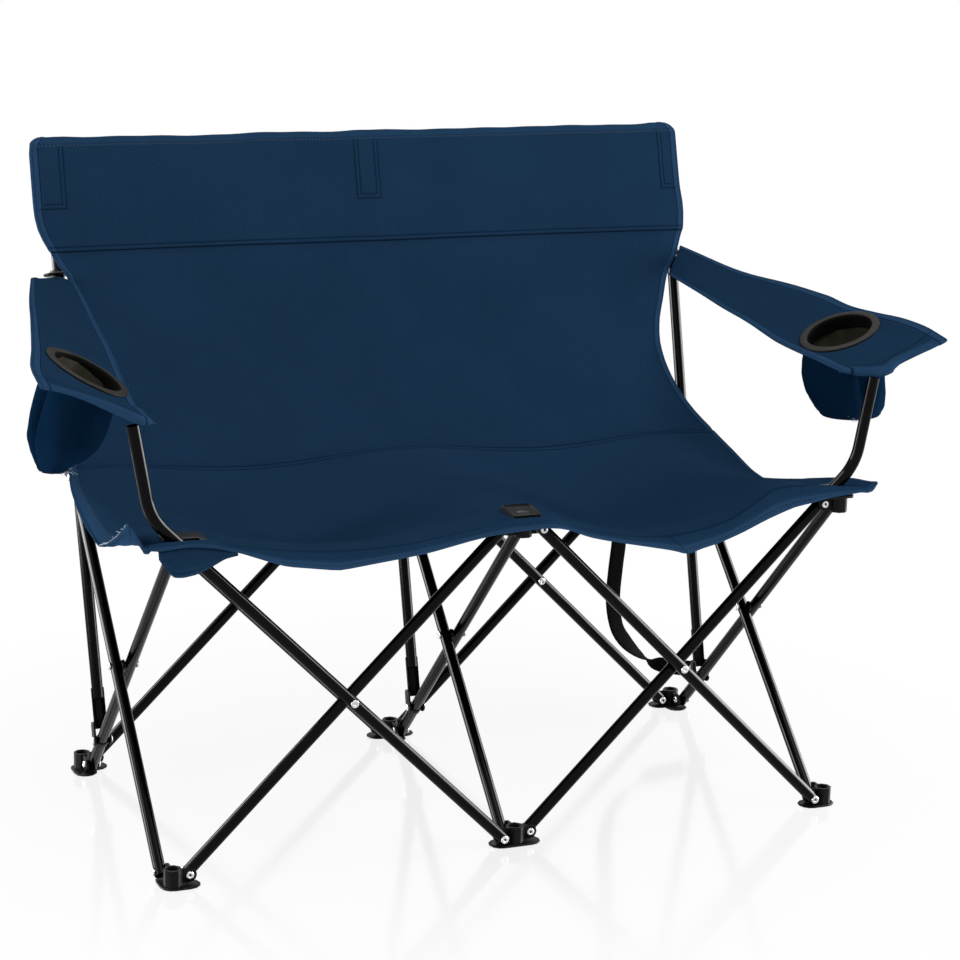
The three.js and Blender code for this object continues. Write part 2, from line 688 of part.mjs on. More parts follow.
const ACROSS = 16;
const acrossBack = Array.from({ length: ACROSS + 1 }, (_, i) => -1 + (2 * i) / ACROSS);
function backPanel() {
  const rows = [];
  const low = CREASE_Z + 2 * GAP;
  for (let i = 0; i <= 10; i += 1) {
    const z = lerp(low, BACK_TOP_Z - TUBE_R, i / 10);
    rows.push({ z, half: backHalf(z), y: backY(z), bow: 1 });
  }
  // The top band turns over the post ends and hangs behind them.
  const turn = (TUBE_R + 2 * GAP) / Math.cos(rad(POST_LEAN)) + CLOTH_T;
  const topZ = BACK_TOP_Z - TUBE_R;
  for (let i = 1; i <= 4; i += 1) {
    const angle = (Math.PI * i) / 4;
    const y = backY(topZ) + turn * (1 - Math.cos(angle));
    rows.push({ z: topZ + TUBE_R * Math.sin(angle), half: BACK_TOP_W, y, bow: 0 });
  }
  rows.push({ z: BACK_BAND_Z, half: BACK_BAND_W, y: backY(BACK_BAND_Z) + 2 * turn, bow: 0 });
  const points = rows.map(({ z, half, y, bow }) => acrossBack.map((share) => {
    const x = BACK_MID_X + share * half;
    const dip = SEAT_DIP_REAR * backBow(x) * (1 - easy(between(z, CREASE_Z, BACK_WAIST_Z)));
    const back = bow * BACK_BOW * backBow(x) * hang(between(z, CREASE_Z, BACK_TOP_Z));
    return at(x, y + back, z - dip);
  }));
  return cut(sheet(points, CLOTH_T), collarRoom('left'), collarRoom('right'));
}
addCloth('back_panel', backPanel());

// Seat cloth: height of its top face.
const CREASE_Y = backY(CREASE_Z) - 2 * GAP;
function seatHalf(y) {
  const front = easy(between(y, DEPTH * 0.35, 0));
  const rear = easy(between(y, DEPTH * 0.6, CREASE_Y));
  return lerp(lerp(SEAT_WAIST, SEAT_EAR, front), BACK_LOW_W, rear);
}

// The cloth is flat over the hub flanges and hangs from their edges.
const FLAT_BACK = FLANGE_BACK + FLANGE_L / 2 + 2;
const FLAT_IN = FLANGE_W / 2 + 2;
const FLAT_OUT = PANEL - FLANGE_SHIFT - FLAT_IN;
const FLAT_END = PANEL - FLANGE_SHIFT + FLAT_IN;
function seatZ(x, y) {
  const share = between(y, CREASE_Y, FLAT_BACK);
  const hubLine = lerp(CREASE_Z, CLOTH_Z, share) - SEAT_SAG * hang(share);
  const dip = lerp(SEAT_DIP_REAR, SEAT_DIP_FRONT, share) + SEAT_DIP_MID * hang(share);
  const bay = hang(between(Math.abs(x), FLAT_IN, FLAT_OUT));
  const edge = between(Math.abs(x), FLAT_END, seatHalf(y));
  const drop = lerp(10, SEAT_DROP, hang(between(y, CREASE_Y, 0))) * edge ** 1.4;
  return hubLine - dip * bay - drop;
}

// Places across the right half, from the middle hub to the side edge.
function seatColumns(half) {
  const bay = [0, 0.25, 0.5, 0.75, 1].map((share) => lerp(FLAT_IN, FLAT_OUT, share));
  return [...bay, FLAT_END, lerp(FLAT_END, half, 0.5), half];
}

function seatRow(y) {
  const right = seatColumns(seatHalf(y));
  const left = right.map((x) => -x).reverse();
  return [...left, ...right].map((x) => at(x, y, seatZ(x, y)));
}

function seatRows(y0, y1, count) {
  return Array.from({ length: count + 1 }, (_, i) => seatRow(lerp(y0, y1, i / count)));
}

const SEAT_FOLD_Y = CREASE_Y * (1 - SEAT_FOLD);

// Front strip, held between the hub flanges and the clamp plates, with its edge turned down.
function seatEdge() {
  const rows = [seatRow(-SEAT_EDGE), seatRow(FLAT_BACK - 2 * GAP)];
  const first = rows[0];
  for (let i = 1; i <= 2; i += 1) {
    const angle = (Math.PI / 4) * i;
    const turned = at(0, -HEM_R * Math.sin(angle), -HEM_R * (1 - Math.cos(angle)));
    rows.unshift(first.map((p) => p.clone().add(turned)));
  }
  rows.unshift(first.map((p) => at(p.x, p.y - HEM_R, p.z - SEAT_HEM)));
  return cut(sheet(rows, CLOTH_T), armPostTool(-1, 4 * GAP), armPostTool(1, 4 * GAP));
}
addCloth('seat_edge', seatEdge());
addCloth('seat_front', sheet(seatRows(FLAT_BACK + 2 * GAP, SEAT_FOLD_Y - GAP, 7), CLOTH_T));
addCloth('seat_rear', sheet(seatRows(SEAT_FOLD_Y + GAP, CREASE_Y - GAP, 5), CLOTH_T));

// Armrest strips, made for the right side.
function edgeCurve(marks) {
  return new THREE.CatmullRomCurve3(marks.map((mark) => at(...mark)));
}

// Height of the flat under the cup ring.
const cupFlat = (x, y) => CUP_Z + CUP_TILT_X * (x - CUP_X) + CUP_TILT_Y * (y - CUP_Y);
const cupNormal = at(-CUP_TILT_X, -CUP_TILT_Y, 1).normalize();
const cupCentre = at(CUP_X, CUP_Y, CUP_Z);
function armStrip(start, end, count) {
  const outer = edgeCurve(ARM_OUTER);
  const inner = edgeCurve(ARM_INNER);
  const rows = Array.from({ length: count + 1 }, (_, i) => {
    const share = lerp(start, end, i / count);
    const far = outer.getPointAt(share);
    const near = inner.getPointAt(share);
    return Array.from({ length: 7 }, (_, j) => {
      const p = far.clone().lerp(near, j / 6);
      const reach = Math.hypot(p.x - CUP_X, p.y - CUP_Y);
      p.z = lerp(cupFlat(p.x, p.y), p.z, easy(between(reach, RING_D * 0.85, RING_D * 1.3)));
      return p;
    });
  });
  return sheet(rows, CLOTH_T);
}

function armFront() {
  const hole = rod(RING_BORE / 2 + SKIRT_T + 2 * GAP, 3 * SKIRT_H, cupCentre, cupNormal, 24);
  return cut(armStrip(ARM_SPLIT + ARM_SPLIT_GAP, 1, 9), hole);
}

function cupRing() {
  const bore = RING_BORE / 2;
  const rim = RING_D / 2;
  const profile = [
    [bore, -SKIRT_H],
    [bore + SKIRT_T, -SKIRT_H],
    [bore + SKIRT_T, GAP],
    [rim, GAP],
    [rim, GAP + RING_T / 2],
    [rim - RING_T / 2, GAP + RING_T],
    [bore + RING_T / 3, GAP + RING_T],
    [bore, GAP + RING_T * 0.6],
    [bore, -SKIRT_H],
  ].map(([r, h]) => new THREE.Vector2(r, h));
  const ring = new THREE.LatheGeometry(profile, 24);
  const turn = new THREE.Quaternion().setFromUnitVectors(Y, cupNormal);
  ring.applyQuaternion(turn).translate(CUP_X, CUP_Y, CUP_Z);
  return fromSolid(toSolid(ring));
}

// Cloth cup that hangs under the ring: a tilted mouth, a wider belly and a flat floor.
function cupPocket() {
  const sides = 24;
  const mouth = RING_BORE / 2 + SKIRT_T + 2 * GAP;
  const turns = Array.from({ length: sides }, (_, i) => (2 * Math.PI * i) / sides);
  const right = at(1, 0, CUP_TILT_X).normalize();
  const rear = cupNormal.clone().cross(right);
  const tilted = (radius, depth) => turns.map((angle) => {
    const p = cupCentre.clone().addScaledVector(cupNormal, -depth);
    return p.addScaledVector(right, radius * Math.cos(angle)).addScaledVector(rear, radius * Math.sin(angle));
  });
  const level = (radius, z) => turns.map((angle) => {
    const out = at(radius * Math.cos(angle), radius * Math.sin(angle), 0);
    return out.add(at(CUP_X + CUP_SHIFT, CUP_Y, z));
  });
  const belly = lerp(CUP_FLOOR_Z, CUP_Z, 0.45);
  const below = SKIRT_H + 4;
  const brim = CLOTH_T + 2 * GAP;
  const outside = [
    level(CUP_FLOOR_D / 2, CUP_FLOOR_Z),
    level(CUP_WIDE_D / 2, belly),
    tilted(mouth + CUP_WALL, below),
    tilted(mouth + CUP_WALL, brim),
  ];
  const inside = [
    tilted(mouth, brim),
    tilted(mouth, below),
    level(CUP_WIDE_D / 2 - CUP_WALL, belly),
    level(CUP_FLOOR_D / 2 - CUP_WALL, CUP_FLOOR_Z + CUP_WALL),
  ];
  const rings = [...outside, ...inside];
  const points = rings.flat();
  const index = [];
  for (let k = 0; k < rings.length - 1; k += 1) {
    for (let i = 0; i < sides; i += 1) {
      const a = k * sides + i;
      const b = k * sides + ((i + 1) % sides);
      index.push(a, b, b + sides, a, b + sides, a + sides);
    }
  }
  const last = points.length - sides;
  const hung = CUP_X + CUP_SHIFT;
  points.push(at(hung, CUP_Y, CUP_FLOOR_Z), at(hung, CUP_Y, CUP_FLOOR_Z + CUP_WALL));
  for (let i = 0; i < sides; i += 1) {
    const next = (i + 1) % sides;
    index.push(points.length - 2, next, i);
    index.push(points.length - 1, last + i, last + next);
  }
  const geometry = new THREE.BufferGeometry();
  geometry.setAttribute('position', new THREE.Float32BufferAttribute(points.flatMap((p) => [...p]), 3));
  geometry.setIndex(index);
  geometry.computeVertexNormals();
  return geometry;
}

// The same piece on the left side.
function mirrored(geometry) {
  const flipped = geometry.clone().scale(-1, 1, 1);
  const corners = flipped.index.array;
  for (let i = 0; i < corners.length; i += 3) {
    const first = corners[i];
    corners[i] = corners[i + 1];
    corners[i + 1] = first;
  }
  flipped.computeVertexNormals();
  return flipped;
}

const armFrontStrip = armFront();
const armRearStrip = armStrip(0, ARM_SPLIT - ARM_SPLIT_GAP, 6);
const ring = cupRing();
const pocket = cupPocket();
addCloth('armrest_front_right', armFrontStrip);
addCloth('armrest_front_left', mirrored(armFrontStrip));
addCloth('armrest_rear_right', armRearStrip);
addCloth('armrest_rear_left', mirrored(armRearStrip));
addPlastic('cup_ring_right', ring);
addPlastic('cup_ring_left', mirrored(ring));
addCloth('cup_pocket_right', pocket);
addCloth('cup_pocket_left', mirrored(pocket));

// Carry strap: hangs from under the seat and runs across to the right post shoe.
function carryStrap() {
  const { pivot } = postLine('right');
  const top = at(STRAP_X, STRAP_Y, seatZ(STRAP_X, STRAP_Y) - CLOTH_T - STRAP_W / 6);
  const low = pivot.z + 52;
  const end = at(pivot.x - TUBE_R - CHEEK_T - 5, pivot.y + 6, pivot.z + 16);
  const path = new THREE.CatmullRomCurve3([
    top,
    at(STRAP_X, STRAP_Y - 2, lerp(top.z, low, 0.5)),
    at(STRAP_X + 4, STRAP_Y - 8, low + 20),
    at(lerp(STRAP_X, end.x, 0.35), lerp(STRAP_Y, end.y, 0.5), low - 8),
    end,
  ]);
  const section = new THREE.Shape();
  section.moveTo(-STRAP_W / 2, -STRAP_T / 2);
  section.lineTo(STRAP_W / 2, -STRAP_T / 2);
  section.lineTo(STRAP_W / 2, STRAP_T / 2);
  section.lineTo(-STRAP_W / 2, STRAP_T / 2);
  return new THREE.ExtrudeGeometry(section, { steps: 14, extrudePath: path, bevelEnabled: false });
}
add('carry_strap', carryStrap(), 0x0e0f11, 0, 0.8);

// The origin is on the floor under the middle of the whole object.
const bounds = new THREE.Box3().setFromObject(chair);
const middle = bounds.getCenter(new THREE.Vector3());
for (const mesh of chair.children) mesh.geometry.translate(-middle.x, -middle.y, -bounds.min.z);

export default chair;
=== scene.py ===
# %% [markdown]
# # A folding camping loveseat
#
# The chair is a basket of crossed steel tubes on black plastic feet, with one long navy cloth hung from it
# as a seat and a back, two cloth armrests with cup holders, and a carry strap. The CAD model is loaded
# first. Every piece below is dressed around it, in metres and in its frame.

# %% Load the CAD frame
import math

import bpy
import numpy as np
from mathutils import Matrix, Vector


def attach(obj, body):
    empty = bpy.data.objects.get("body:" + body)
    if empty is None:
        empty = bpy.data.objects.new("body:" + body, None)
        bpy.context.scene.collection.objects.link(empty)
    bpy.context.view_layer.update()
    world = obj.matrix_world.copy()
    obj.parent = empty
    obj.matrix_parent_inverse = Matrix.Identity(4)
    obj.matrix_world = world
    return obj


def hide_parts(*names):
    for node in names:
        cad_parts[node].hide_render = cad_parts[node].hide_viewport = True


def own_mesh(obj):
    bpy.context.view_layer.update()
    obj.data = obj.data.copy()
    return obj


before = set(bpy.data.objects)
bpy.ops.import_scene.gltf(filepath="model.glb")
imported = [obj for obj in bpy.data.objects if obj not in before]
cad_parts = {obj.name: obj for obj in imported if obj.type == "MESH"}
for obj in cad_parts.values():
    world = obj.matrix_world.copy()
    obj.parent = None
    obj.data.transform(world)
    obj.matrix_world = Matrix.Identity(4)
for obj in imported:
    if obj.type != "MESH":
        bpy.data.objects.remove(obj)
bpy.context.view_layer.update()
scene = bpy.context.scene
scene.view_settings.view_transform = "Standard"

MM = 0.001
PLAN_Y = 303.814  # the frame's origin lies this far behind the front feet, in mm


def at(x, y, z):
    """A place measured in mm from the middle front foot, as a point of the frame in metres."""
    return Vector((x * MM, (y - PLAN_Y) * MM, z * MM))


# %% [markdown]
# ## Camera
#
# The camera was fitted to the tube pivots in the photograph. It stands in front of the chair and to its
# left, looks a little down, and is long, so the far tubes are nearly as thick as the near ones.

# %% Camera
PHOTO_PX = 960
FOCAL_PX = 2528.2
SENSOR_MM = 36
CLIP_END = 200  # m, past the far edge of the floor
STANDS_AT = (-1.2867, -3.2126, 1.2232)  # m
YAW, PITCH, ROLL = (math.radians(turn) for turn in (22.834, -12.89, 1.36))

ahead = Vector((math.sin(YAW) * math.cos(PITCH), math.cos(YAW) * math.cos(PITCH), math.sin(PITCH)))
level = Vector((math.cos(YAW), -math.sin(YAW), 0))
above = level.cross(ahead)
across = level * math.cos(ROLL) + above * math.sin(ROLL)
upward = above * math.cos(ROLL) - level * math.sin(ROLL)

lens = bpy.data.cameras.new("camera")
lens.sensor_width = SENSOR_MM
lens.sensor_fit = "HORIZONTAL"
lens.lens = SENSOR_MM * FOCAL_PX / PHOTO_PX
lens.clip_end = CLIP_END
camera = bpy.data.objects.new("camera", lens)
scene.collection.objects.link(camera)
facing = Matrix((across, upward, -ahead)).transposed().to_4x4()
camera.matrix_world = Matrix.Translation(STANDS_AT) @ facing
scene.camera = camera
print("lens:", round(lens.lens, 1), "mm")

# %% [markdown]
# ## Materials
#
# One small function adds a node with its settings and links. Colours are written as sRGB hex and made
# linear. Patterns on cloth follow each piece's own UV map, which is in metres along the weave, so that a
# thread has its real spacing. Patterns on hard pieces follow Object coordinates, which are metres too.


# %% Node and colour helpers
def srgb(code):
    """Hex colour to linear RGBA."""
    parts = [int(code[i : i + 2], 16) / 255 for i in (1, 3, 5)]
    return tuple(c / 12.92 if c <= 0.04045 else ((c + 0.055) / 1.055) ** 2.4 for c in parts) + (1.0,)


def add_node(tree, kind, links=None, **settings):
    """Adds a node; links gives each socket a value, a node's output, or a node for its first output."""
    node = tree.nodes.new(kind)
    for key, value in settings.items():
        setattr(node, key, value)
    for socket, value in (links or {}).items():
        if isinstance(value, bpy.types.Node):
            value = value.outputs[0]
        if isinstance(value, bpy.types.NodeSocket):
            tree.links.new(value, node.inputs[socket])
        else:
            node.inputs[socket].default_value = value
    return node


def new_material(name):
    """An empty material with its output, and its node tree."""
    material = bpy.data.materials.new(name)
    material.use_nodes = True
    tree = material.node_tree
    tree.nodes.clear()
    return material, tree, tree.nodes.new("ShaderNodeOutputMaterial")


# %% [markdown]
# ### Navy cloth
#
# The cloth is woven polyester, plain weave, dyed navy and thinly coated on its underside. It is dull, with
# a faint fuzz that lightens it at grazing angles. The real threads are about half a millimetre apart, which
# is finer than a pixel here, so they are drawn three times as coarse. Seams are marked on the mesh: the
# groove mark paints shade into a pulled-in row of stitches, a crease or a fold, the hem mark paints a
# highlight along the raised doubled cloth, and "thread" lays pale stitches on it.

# %% Navy cloth
THREAD_MM = 1.5  # drawn coarse; about 0.5 on the real cloth
STITCH_MM = 4.5  # drawn coarse; about 3 on the real cloth
SLUBS, CLOUDS = 420.0, 7.0  # for each metre: thread unevenness of 2.4 mm, dye unevenness of 14 cm
# painted light: the hem colour is a painted highlight on hems, the groove colour painted shade in grooves,
# creases and folds
HEM_HIGHLIGHT_BLUE, GROOVE_SHADE_NAVY, STITCH_BLUE, FUZZ_BLUE = "#2f5074", "#030d18", "#7698c2", "#6f95c4"


def per_turn(spacing):
    """Radians for each metre of a wave that repeats at a spacing in mm."""
    return 2 * math.pi / (spacing * MM)


def navy_cloth(name, dark, light):
    material, tree, output = new_material(name)
    uv = add_node(tree, "ShaderNodeUVMap", uv_map="weave")
    split = add_node(tree, "ShaderNodeSeparateXYZ", {0: uv})
    waves = []
    for axis in (0, 1):
        phase = add_node(tree, "ShaderNodeMath", {0: split.outputs[axis], 1: per_turn(THREAD_MM)},
                         operation="MULTIPLY")
        waves.append(add_node(tree, "ShaderNodeMath", {0: phase}, operation="SINE"))
    weave = add_node(tree, "ShaderNodeMath", {0: waves[0], 1: waves[1]}, operation="MULTIPLY")
    slub = add_node(tree, "ShaderNodeTexNoise",
                    {"Vector": uv, "Scale": SLUBS, "Detail": 3.0, "Roughness": 0.65})
    cloud = add_node(tree, "ShaderNodeTexNoise",
                     {"Vector": uv, "Scale": CLOUDS, "Detail": 4.0, "Roughness": 0.6})
    grain = add_node(tree, "ShaderNodeMath", {0: weave, 1: 0.1, 2: slub}, operation="MULTIPLY_ADD")
    tone = add_node(tree, "ShaderNodeMath", {0: cloud, 1: 0.4, 2: grain}, operation="MULTIPLY_ADD")
    shade = add_node(tree, "ShaderNodeMapRange", {"Value": tone, 1: 0.4, 2: 1.0})
    colour = add_node(tree, "ShaderNodeMix", {0: shade, 6: srgb(dark), 7: srgb(light)}, data_type="RGBA")
    # a painted highlight on hems, then painted shade in grooves, creases and folds
    for mark, tint in (("hem", HEM_HIGHLIGHT_BLUE), ("groove_shade", GROOVE_SHADE_NAVY)):
        marked = add_node(tree, "ShaderNodeAttribute", attribute_name=mark)
        colour = add_node(tree, "ShaderNodeMix",
                          {0: marked.outputs["Fac"], 6: colour.outputs[2], 7: srgb(tint)}, data_type="RGBA")
    along = add_node(tree, "ShaderNodeMath", {0: split.outputs[0], 1: split.outputs[1]}, operation="ADD")
    dash = add_node(tree, "ShaderNodeMath", {0: along, 1: per_turn(STITCH_MM)}, operation="MULTIPLY")
    beat = add_node(tree, "ShaderNodeMath", {0: dash}, operation="SINE")
    gate = add_node(tree, "ShaderNodeMapRange", {"Value": beat, 1: -0.5, 2: 0.2})
    thread = add_node(tree, "ShaderNodeAttribute", attribute_name="thread")
    stitch = add_node(tree, "ShaderNodeMath", {0: thread.outputs["Fac"], 1: gate}, operation="MULTIPLY")
    stitched = add_node(tree, "ShaderNodeMix", {0: stitch, 6: colour.outputs[2], 7: srgb(STITCH_BLUE)},
                        data_type="RGBA")
    height = add_node(tree, "ShaderNodeMath", {0: stitch, 1: 2.0, 2: grain}, operation="MULTIPLY_ADD")
    bump = add_node(tree, "ShaderNodeBump", {"Strength": 0.35, "Distance": 0.6 * MM, "Height": height})
    rough = add_node(tree, "ShaderNodeMapRange", {"Value": slub, 1: 0.3, 2: 0.7, 3: 0.78, 4: 0.92})
    shader = add_node(tree, "ShaderNodeBsdfPrincipled", {
        "Base Color": stitched.outputs[2], "Roughness": rough, "Normal": bump, "Specular IOR Level": 0.0,
        "Sheen Weight": 0.05, "Sheen Roughness": 0.45, "Sheen Tint": srgb(FUZZ_BLUE)})
    tree.links.new(shader.outputs[0], output.inputs[0])
    return material


POLYESTER = navy_cloth("navy_woven_polyester", "#163048", "#24405e")
# the pocket cloth is the same polyester painted darker, for the shade under the armrests
SHADED_POCKET_CLOTH = navy_cloth("navy_polyester_painted_shade", "#09243e", "#122f4d")
print("made", POLYESTER.name, "and", SHADED_POCKET_CLOTH.name)

# %% [markdown]
# ### Steel tube, plastics, rivets and webbing
#
# The tubes are steel with a gloss black powder coat: nearly black, with sharp lights and a faint orange
# peel. Feet, hubs and shoes are moulded nylon, black and slightly grained. The cup rings are a dark grey
# moulding. Rivets are nickel plated steel. The strap is ribbed black webbing, and the cups have a coated
# olive lining.


# %% Hard materials and webbing
TONE_PATCHES = 22.0  # for each metre, so patches of about 45 mm


def coated(name, colour, worn, rough, grain_mm, bump, specular, metal=0.0):
    """A hard surface with a fine grain in its gloss and relief, and a slight change of tone."""
    material, tree, output = new_material(name)
    place = add_node(tree, "ShaderNodeTexCoord").outputs["Object"]
    grain = add_node(tree, "ShaderNodeTexNoise",
                     {"Vector": place, "Scale": 1 / (grain_mm * MM), "Detail": 2.0, "Roughness": 0.5})
    cloud = add_node(tree, "ShaderNodeTexNoise", {"Vector": place, "Scale": TONE_PATCHES, "Detail": 3.0})
    tone = add_node(tree, "ShaderNodeMapRange", {"Value": cloud, 1: 0.35, 2: 0.7})
    base = add_node(tree, "ShaderNodeMix", {0: tone, 6: srgb(colour), 7: srgb(worn)}, data_type="RGBA")
    gloss = add_node(tree, "ShaderNodeMapRange",
                     {"Value": grain, 1: 0.3, 2: 0.7, 3: rough * 0.85, 4: rough * 1.2})
    relief = add_node(tree, "ShaderNodeBump",
                      {"Strength": bump, "Distance": grain_mm * MM * 0.12, "Height": grain})
    shader = add_node(tree, "ShaderNodeBsdfPrincipled", {
        "Base Color": base.outputs[2], "Roughness": gloss, "Normal": relief, "Metallic": metal,
        "Specular IOR Level": specular})
    tree.links.new(shader.outputs[0], output.inputs[0])
    return material


# each line: name, colour, worn colour, roughness, grain in mm, relief, mirror
POWDER_COAT = coated("black_powder_coat", "#020203", "#040405", 0.12, 6.0, 0.02, 0.08)
NYLON = coated("moulded_black_nylon", "#060607", "#0c0c0d", 0.4, 0.9, 0.2, 0.1)
RING_ABS = coated("moulded_grey_abs", "#141311", "#1a1917", 0.5, 0.8, 0.2, 0.04)
# the sleeve is painted near black and nearly without gloss, for the shade inside the cups
SHADE_SLEEVE = coated("black_sleeve_painted_shade", "#030303", "#060606", 0.6, 0.8, 0.1, 0.05)
NICKEL = coated("nickel_plated_steel", "#b9bcbe", "#d4d6d8", 0.26, 0.6, 0.2, 0.5, metal=1.0)
LINING = coated("coated_olive_lining", "#3a392f", "#464539", 0.6, 0.7, 0.3, 0.08)
RAW_THREAD = coated("raw_polyester_thread", "#9fb2c8", "#cfdae6", 0.8, 0.5, 0.3, 0.3)

RIB_MM = 1.6  # webbing ribs, drawn coarse; about 1 on the real strap
FUZZ = 700.0  # for each metre, so about 1.4 mm


def ribbed_webbing(name):
    material, tree, output = new_material(name)
    uv = add_node(tree, "ShaderNodeUVMap", uv_map="weave")
    split = add_node(tree, "ShaderNodeSeparateXYZ", {0: uv})
    phase = add_node(tree, "ShaderNodeMath", {0: split.outputs[1], 1: per_turn(RIB_MM)}, operation="MULTIPLY")
    rib = add_node(tree, "ShaderNodeMath", {0: phase}, operation="SINE")
    fuzz = add_node(tree, "ShaderNodeTexNoise", {"Vector": uv, "Scale": FUZZ, "Detail": 2.0})
    height = add_node(tree, "ShaderNodeMath", {0: rib, 1: 0.5, 2: fuzz}, operation="MULTIPLY_ADD")
    tone = add_node(tree, "ShaderNodeMapRange", {"Value": height, 1: 0.0, 2: 1.0})
    base = add_node(tree, "ShaderNodeMix", {0: tone, 6: srgb("#030303"), 7: srgb("#0a0a0b")},
                    data_type="RGBA")
    bump = add_node(tree, "ShaderNodeBump", {"Strength": 0.5, "Distance": 0.5 * MM, "Height": height})
    shader = add_node(tree, "ShaderNodeBsdfPrincipled", {
        "Base Color": base.outputs[2], "Roughness": 0.8, "Normal": bump, "Specular IOR Level": 0.03})
    tree.links.new(shader.outputs[0], output.inputs[0])
    return material


WEBBING = ribbed_webbing("black_nylon_webbing")
print("materials:", len(bpy.data.materials))

# %% [markdown]
# ## Small helpers
#
# An operator acts on all that is selected, so `only` first selects the pieces that are meant. A mesh made
# from points or by a spin may have faces that look inwards, and `face_outwards` turns those. `dress` gives
# a piece its material, hides the CAD solids it stands for, and lets it ride on its body.


# %% Selecting and dressing pieces
def only(*pieces):
    """Selects these pieces and nothing else; the first is the active one."""
    bpy.ops.object.select_all(action="DESELECT")
    for piece in pieces:
        piece.select_set(True)
    bpy.context.view_layer.objects.active = pieces[0]


def smooth(piece, degrees=35):
    only(piece)
    bpy.ops.object.shade_smooth_by_angle(angle=math.radians(degrees))


def edit_all(piece):
    """Opens a piece in edit mode with all of it selected."""
    only(piece)
    bpy.ops.object.mode_set(mode="EDIT")
    bpy.ops.mesh.select_all(action="SELECT")


def face_outwards(piece):
    edit_all(piece)
    bpy.ops.mesh.normals_make_consistent(inside=False)
    bpy.ops.object.mode_set(mode="OBJECT")


def new_mesh(name, verts, faces, edges=()):
    mesh = bpy.data.meshes.new(name)
    mesh.from_pydata([tuple(v) for v in verts], list(edges), list(faces))
    piece = bpy.data.objects.new(name, mesh)
    scene.collection.objects.link(piece)
    return piece


def dress(piece, material, slot, body, *nodes):
    piece.data.materials.clear()
    piece.data.materials.append(material)
    if nodes:
        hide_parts(*nodes)
    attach(piece, body)
    return piece


# %% [markdown]
# ## Carry strap
#
# A flat black strap hangs from under the seat, turns over once near the floor and runs to the shoe of the
# right rear post. It is a ribbon: a row of flat sections along a smooth path, with the width turned bit by
# bit.


# %% Carry strap
def smooth_path(marks, shares):
    """Points at shares of a smooth curve through the marks, by chord length."""
    marks = np.array(marks, float)
    knots = np.concatenate([[0], np.cumsum(np.linalg.norm(np.diff(marks, axis=0), axis=1))])
    slopes = np.gradient(marks, knots, axis=0)
    places = np.asarray(shares, float) * knots[-1]
    k = np.clip(np.searchsorted(knots, places, side="right") - 1, 0, len(knots) - 2)
    span = (knots[k + 1] - knots[k])[..., None]
    t = ((places - knots[k]) / (knots[k + 1] - knots[k]))[..., None]
    a, b = marks[k], marks[k + 1]
    da, db = slopes[k] * span, slopes[k + 1] * span
    from_a = (2 * t**3 - 3 * t**2 + 1) * a + (t**3 - 2 * t**2 + t) * da
    return from_a + (3 * t**2 - 2 * t**3) * b + (t**3 - t**2) * db


def ring_faces(count, sides, first=0):
    """Faces between rings of points that follow each other."""
    corners = ((0, 0), (0, 1), (1, 1), (1, 0))
    return [tuple(first + (k + down) * sides + (i + on) % sides for down, on in corners)
            for k in range(count - 1) for i in range(sides)]


STRAP_WIDE = 25
STRAP_THICK = 1.6
STRAP_STEPS = 91
strap_marks = [
    (352, 425, 428), (349, 425, 350), (347, 425, 282), (343, 425, 240), (341, 425, 190), (344, 424, 166),
    (350, 423, 146), (362, 421, 128), (377, 418, 113), (395, 415, 100), (411, 411, 91), (428, 407, 86),
    (447, 403, 83), (463, 401, 80)]
strap_turns = [
    (1, 0, 0), (1, 0.05, 0), (1, 0.05, 0), (1, 0.05, 0), (1, 0.1, 0), (0.98, 0.2, 0.1),
    (0.9, 0.3, 0.35), (0.75, 0.45, 0.6), (0.5, 0.8, 0.5), (0.1, 1, 0.1), (-0.3, 0.5, -0.8), (-0.35, 0.2, -1),
    (-0.2, 0.1, -1), (-0.2, 0.1, -1)]
path_marks = [mark + turn for mark, turn in zip(strap_marks, strap_turns)]
strap_path = smooth_path(path_marks, np.linspace(0, 1, STRAP_STEPS))
line, width_dir = strap_path[:, :3], strap_path[:, 3:]
forward = np.gradient(line, axis=0)
forward /= np.linalg.norm(forward, axis=1, keepdims=True)
width_dir -= forward * np.sum(width_dir * forward, axis=1, keepdims=True)
width_dir /= np.linalg.norm(width_dir, axis=1, keepdims=True)
flat_dir = np.cross(width_dir, forward)
# shares of the width and of the thickness, round the strap
section = [(-0.5, -0.25), (-0.46, -0.5), (-0.2, -0.5), (0.2, -0.5), (0.46, -0.5), (0.5, -0.25),
           (0.5, 0.25), (0.46, 0.5), (0.2, 0.5), (-0.2, 0.5), (-0.46, 0.5), (-0.5, 0.25)]
verts = [at(*(place + wide * a * STRAP_WIDE + thick * b * STRAP_THICK))
         for place, wide, thick in zip(line, width_dir, flat_dir) for a, b in section]
sides = len(section)
faces = ring_faces(STRAP_STEPS, sides)
faces += [tuple(reversed(range(sides))), tuple(range(len(verts) - sides, len(verts)))]
strap = new_mesh("carry_webbing", verts, faces)
face_outwards(strap)
run = np.concatenate([[0], np.cumsum(np.linalg.norm(np.diff(line, axis=0), axis=1))]) * MM
uv = strap.data.uv_layers.new(name="weave")
for loop in strap.data.loops:
    i, j = divmod(loop.vertex_index, sides)
    uv.data[loop.index].uv = (section[j][0] * STRAP_WIDE * MM, run[i])
smooth(strap)
dress(strap, WEBBING, "webbing", "rear_post_right", "carry_strap")
print("strap:", round(run[-1], 3), "m along")

# %% [markdown]
# ## Steel tubes
#
# All tubes are 16 mm stock. A straight one is an open cylinder, placed between its two pivots and given a
# wall. The CAD tubes have ten sides, so each is replaced by a round one on the same line.

